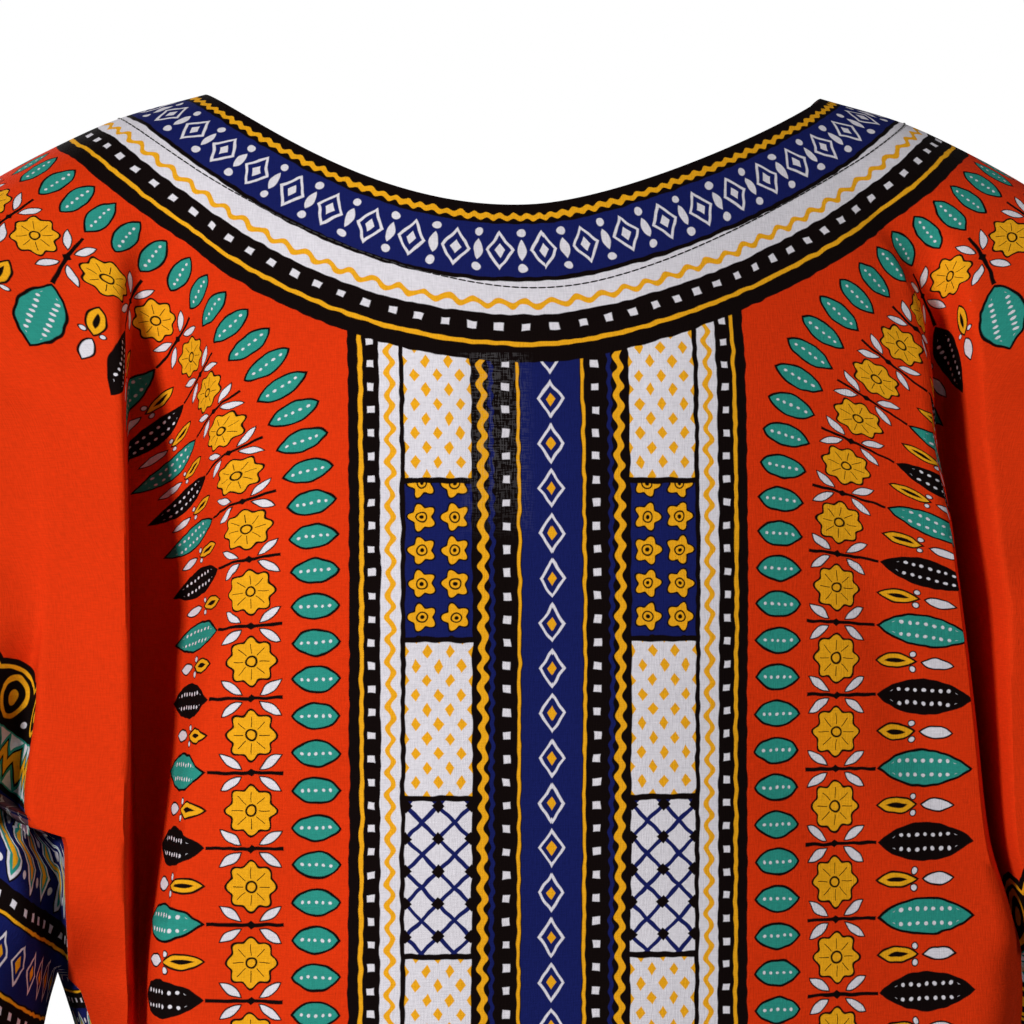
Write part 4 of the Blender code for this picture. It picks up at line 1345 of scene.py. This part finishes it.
def part_print(part, tree, shaken):
    """The colours of one part of the print, or of the whole print where parts meet."""
    if part == "plain":
        return Ink(tree, ORANGE)
    if part == "panel":
        return panel_print(tree, *shaken("cut"))
    if part == "collar":
        return collar_print(tree, *shaken("collar"))
    if part == "border":
        return border_print(tree, *shaken("border"))[0]
    ink = field_print(tree, *shaken("field"))
    if part == "joined":
        u, v = shaken("cut")
        ink.lay(u.within(PANEL_HALF), panel_print(tree, u, v))
        m, n = shaken("collar")
        ink.lay(n.within(COLLAR), collar_print(tree, m, n))
        border, border_edge = border_print(tree, *shaken("border"))
        ink.lay(border_edge.within(0.0008), border)
    return ink


def wax_print(part):
    """A node group that draws one part of the print from the cloth's maps, with the weave as a height.
    Printed lines shake a little, and on the left of the panel some threads are painted grey as a painted
    sheen."""
    tree = bpy.data.node_groups.new("wax_print_" + part, "ShaderNodeTree")
    tree.interface.new_socket("Color", in_out="OUTPUT", socket_type="NodeSocketColor")
    tree.interface.new_socket("Height", in_out="OUTPUT", socket_type="NodeSocketFloat")
    place = add(tree, "TexCoord", {}).outputs["Object"]
    shake = noise(tree, place, SHAKES_A_METRE, 0.0).outputs["Color"]
    shakes = [one * SHAKE - SHAKE / 2 for one in apart(tree, shake)]

    def read(name):
        return apart(tree, add(tree, "UVMap", {}, uv_map=name).outputs[0])

    def shaken(name):
        return tuple(flat + shake for flat, shake in zip(read(name), shakes))

    ink = part_print(part, tree, shaken)
    u, v = read("cut")
    weave = threads(tree, u, v)
    # Painted sheen: grey laid on some threads on the left of the panel, for light caught by the weave there.
    if part in ("panel", "joined"):
        sheen_patch = abs(v - SHEEN_V).within(*SHEEN_UP).least(abs(u - SHEEN_U).within(*SHEEN_ACROSS))
        left_half = (LEFT_FROM - apart(tree, place)[0]).within(0.0, LEFT_SOFT)
        sheen_threads = (-1.0 * weave).within(SHEEN_BELOW, SHEEN_SOFT)
        ink.lay(sheen_threads.least(sheen_patch).least(left_half) * SHEEN_SHARE, SHEEN_GREY)
    patch = Signal(tree, noise(tree, place, PATCHES_A_METRE, 1.0).outputs["Fac"])
    tone = weave * THREAD_TONE + patch * PATCH_TONE + PLAIN_TONE
    shade = add(tree, "HueSaturation", {"Color": ink.now, "Value": tone.socket})
    cross = u.wave(WEAVE_PITCH, 0.5) * v.wave(WEAVE_PITCH, 1.0)
    ends = tree.nodes.new("NodeGroupOutput")
    tree.links.new(shade.outputs["Color"], ends.inputs["Color"])
    tree.links.new((weave * THREAD_HEIGHT + cross).socket, ends.inputs["Height"])
    return tree


def surface(name, roughness, specular=0.5):
    """A new material, its nodes and its shader."""
    material = bpy.data.materials.new(name)
    material.use_nodes = True
    shader = material.node_tree.nodes["Principled BSDF"]
    shader.inputs["Roughness"].default_value = roughness
    shader.inputs["Specular IOR Level"].default_value = specular
    return material, material.node_tree, shader


def roughen(tree, shader, height, strength, distance):
    """Bump on a shader from a height."""
    bump = add(tree, "Bump", {"Strength": strength, "Distance": distance, "Height": height})
    tree.links.new(bump.outputs["Normal"], shader.inputs["Normal"])


def cotton(name, print_group, colour_through=None):
    """Matt woven cotton with the print. The wrong side shows it paler, through a share of undyed thread."""
    material, tree, shader = surface(name, COTTON_ROUGHNESS, COTTON_SHINE)
    group = add(tree, "Group", {}, node_tree=print_group)
    colour = group.outputs["Color"]
    if colour_through is not None:
        colour = mix(tree, UNDYED_SHARE, colour, colour_through)
    connect(tree, colour, shader.inputs["Base Color"])
    roughen(tree, shader, group.outputs["Height"], *WEAVE_BUMP)
    return material


def thread(name, colour):
    """Twisted sewing thread, with its plies as fine bands in the bump."""
    material, tree, shader = surface(name, THREAD_ROUGHNESS)
    place = add(tree, "TexCoord", {}).outputs["Object"]
    plies = noise(tree, place, PLIES_A_METRE, 1.0).outputs["Fac"]
    dark, light = (tuple(tone * part for part in colour) for tone in (PLY_DARK, PLY_LIGHT))
    connect(tree, mix(tree, plies, dark, light), shader.inputs["Base Color"])
    roughen(tree, shader, plies, *PLY_BUMP)
    return material


# The camera looks at the back, turned 7 degrees round, from far off; the frame crops the sleeves and the hem.
CAMERA_AZIMUTH, CAMERA_ELEVATION = 173.0, 1.0
CAMERA_DISTANCE, CAMERA_LENS, CAMERA_SENSOR = 2.2, 197.0, 36.0
CAMERA_TARGET = Vector((0.0, 0.03, -0.1645))
CAMERA_SIDEWAYS = -0.0045

# Strength of the surroundings as light, where the camera sees them at 1.
AMBIENT = 0.03

# Square lamps, aimed at the middle of the shirt: place, width in metres and power in watts.
Lamp = namedtuple("Lamp", "name place size power")
LAMPS = (
    Lamp("key", (1.85, 2.40, 0.60), 0.5, 85),
    Lamp("side_fill", (-2.2, 2.4, 0.5), 1.0, 13),
    Lamp("right_fill", (-2.6, -1.2, 0.6), 1.6, 30),
    Lamp("front_fill", (1.4, -2.4, 0.8), 1.2, 56),
)
LAMPS_AIM = Vector((0, 0, -0.25))

# The floor's half width, its points to a side, and how far below the hem it lies.
FLOOR_HALF, FLOOR_POINTS, FLOOR_DROP = 2.4, 13, 0.12
FLOOR_GREY, FLOOR_ROUGHNESS = 0.25, 0.7

# How far a cell stays from the line where two parts of the print meet, how far the border's scallops reach in
# from its edge, and where the motifs end.
SLACK = 0.0012
SCALLOPS = 0.0080
MOTIFS_END = 0.0965

# The neck and the hems are stitched this far from their edges. A hem grows thin again over a short step.
NECK_STITCH = FACING - 0.0025
HEM_STITCH = HEM_TURN - 0.002
HEM_STEP = 0.002

# A facing lies this far inside its panel.
FACING_GAP = 0.0001

PARTS = ("joined", "plain", "field", "panel", "collar", "border")
BLACK_THREAD = (0.012, 0.010, 0.010)
ORANGE_THREAD = (0.55, 0.05, 0.01)
UNDYED = (0.42, 0.20, 0.16)


def part_of_print(cloth):
    """The number in PARTS of the part that fills each cell, where 0 is a cell in which parts meet."""
    u = cloth.maps["cut"][cloth.quads, 0]
    n = cloth.maps["collar"][cloth.quads, 1]
    s = cloth.maps["field"][cloth.quads, 1]
    w = cloth.maps["border"][cloth.quads, 1]
    above = w > BORDER + SLACK
    ground = (u > PANEL_HALF + SLACK) & (n > COLLAR + SLACK) & above
    fills = {
        "plain": ground & (s > MOTIFS_END),
        "field": ground,
        "panel": (u < PANEL_HALF - SLACK) & (n > COLLAR + SLACK) & above,
        "collar": (n < COLLAR - SLACK) & above,
        "border": w < BORDER - SCALLOPS,
    }
    whole = [fills[name].all(axis=1) for name in PARTS[1:]]
    return np.select(whole, range(1, len(PARTS)), 0)


def hem_thickness(cloth):
    """The wall's thickness at each shared point: double over the turned-up hems and sleeve ends."""
    edge = cloth.maps["ends"].min(axis=1)
    thickness = CLOTH * (2 - ramp(HEM_TURN, HEM_TURN + HEM_STEP, edge))
    merged = np.empty(len(cloth.points))
    merged[cloth.shared] = thickness
    return merged[:, None]


def panel(name, face, materials, facing_materials):
    """One panel with its facing, and the lines along which its neck, hem and sleeve ends are stitched."""
    grids = [grid for side in (LEFT, RIGHT) for grid in half_grids(face, side)]
    cloth = Cloth(grids)
    everywhere = np.ones(len(cloth.quads), bool)
    thickness = hem_thickness(cloth)
    piece = shell(name + "_cloth", cloth, everywhere, 0.0, thickness, materials, part_of_print(cloth))
    facing = np.zeros(len(cloth.corners), bool)
    for grid, start in zip(grids, cloth.starts):
        if at_neck(grid):
            facing[start : start + (FACING_ROWS + 1) * grid.points.shape[1]] = True
    turned_in = facing[cloth.quads].all(axis=1)
    inside = CLOTH + FACING_GAP
    facing_piece = shell(name + "_neck_facing", cloth, turned_in, inside, CLOTH, facing_materials)
    normals = cloth.normals()[cloth.shared]
    lines = {"neck": [], "edge": []}
    for grid, start in zip(grids, cloth.starts):
        lean = normals[start : start + grid.points[..., 0].size].reshape(grid.points.shape)
        levels = [("edge", grid.maps["ends"][..., end], HEM_STITCH) for end in (1, 0)]
        if at_neck(grid):
            levels.insert(0, ("neck", lengths(grid.points), NECK_STITCH))
        for kind, level, value in levels:
            line, leans = level_line(grid.points, lean, level, value)
            if len(line) > 2:
                lines[kind].append((line, leans))
    return piece, facing_piece, lines


def at_neck(grid):
    """Whether the first row of a grid lies along the neck edge."""
    return grid.maps["collar"][0, :, 1].max() < NECK_STITCH / 2


def aim(obj, place, target):
    """Puts a camera or lamp at a place, looking at a target."""
    obj.location = place
    obj.rotation_euler = (target - place).to_track_quat("-Z", "Y").to_euler()
    bpy.context.scene.collection.objects.link(obj)


def camera():
    """A long lens at the height of the shoulder blades."""
    azimuth, elevation = np.radians(CAMERA_AZIMUTH), np.radians(CAMERA_ELEVATION)
    flat = np.cos(elevation)
    back = Vector((np.sin(azimuth) * flat, -np.cos(azimuth) * flat, np.sin(elevation)))
    right = Vector((np.cos(azimuth), np.sin(azimuth), 0))
    target = CAMERA_TARGET + right * CAMERA_SIDEWAYS
    data = bpy.data.cameras.new("camera")
    data.lens, data.sensor_width = CAMERA_LENS, CAMERA_SENSOR
    obj = bpy.data.objects.new("camera", data)
    aim(obj, target + back * CAMERA_DISTANCE, target)
    bpy.context.scene.camera = obj


def studio():
    """White all round to the camera's eye, a dim grey to light by, the lamps, and a grey floor below the
    hem."""
    world = bpy.data.worlds.new("studio")
    world.use_nodes = True
    tree = world.node_tree
    background = tree.nodes["Background"]
    background.inputs["Color"].default_value = (1, 1, 1, 1)
    seen = Signal(tree, add(tree, "LightPath", {}).outputs["Is Camera Ray"])
    strength = seen * (1.0 - AMBIENT) + AMBIENT
    tree.links.new(strength.socket, background.inputs["Strength"])
    bpy.context.scene.world = world
    for lamp in LAMPS:
        data = bpy.data.lights.new(lamp.name, "AREA")
        data.size, data.energy = lamp.size, lamp.power
        aim(bpy.data.objects.new(lamp.name, data), Vector(lamp.place), LAMPS_AIM)
    places = np.linspace(-FLOOR_HALF, FLOOR_HALF, FLOOR_POINTS)
    x, y = np.meshgrid(places, places, indexing="ij")
    points = np.stack([x, y, np.full_like(x, HEM_Z - FLOOR_DROP)], axis=2).reshape(-1, 3)
    material, _, shader = surface("grey_floor", FLOOR_ROUGHNESS)
    shader.inputs["Base Color"].default_value = (FLOOR_GREY, FLOOR_GREY, FLOOR_GREY, 1)
    floor = make_mesh("floor", points, quads(FLOOR_POINTS, FLOOR_POINTS, False, 0), [material])


def main():
    """The panels with their facings and stitches, each riding on the part and standing for its solid."""
    bpy.context.scene.view_settings.view_transform = "Standard"
    camera()
    studio()
    groups = {part: wax_print(part) for part in PARTS}
    right_sides = [cotton("printed_cotton_" + part, groups[part]) for part in PARTS]
    wrong_side = cotton("printed_cotton_wrong_side", groups["joined"], UNDYED)
    facing_side = cotton("facing_cotton_right_side", groups["collar"])
    lines = {"neck": [], "edge": []}
    pieces = {}
    for name, face in (("back", BACK), ("front", FRONT)):
        piece, facing, found = panel(name, face, [*right_sides, wrong_side], [wrong_side, facing_side])
        pieces[name], pieces[name + "_facing"] = piece, facing
        for kind, some in found.items():
            lines[kind] += some
        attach(piece, "root")
        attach(facing, "root")
        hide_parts(name)
        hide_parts("neck_facing_" + name)
    neck = stitches("neck_topstitching", lines["neck"], NECK_SEAM, thread("black_thread", BLACK_THREAD))
    hems = stitches("hem_stitching", lines["edge"], HEM_SEAM, thread("orange_thread", ORANGE_THREAD))
    for piece in (neck, hems):
        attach(piece, "root")


main()
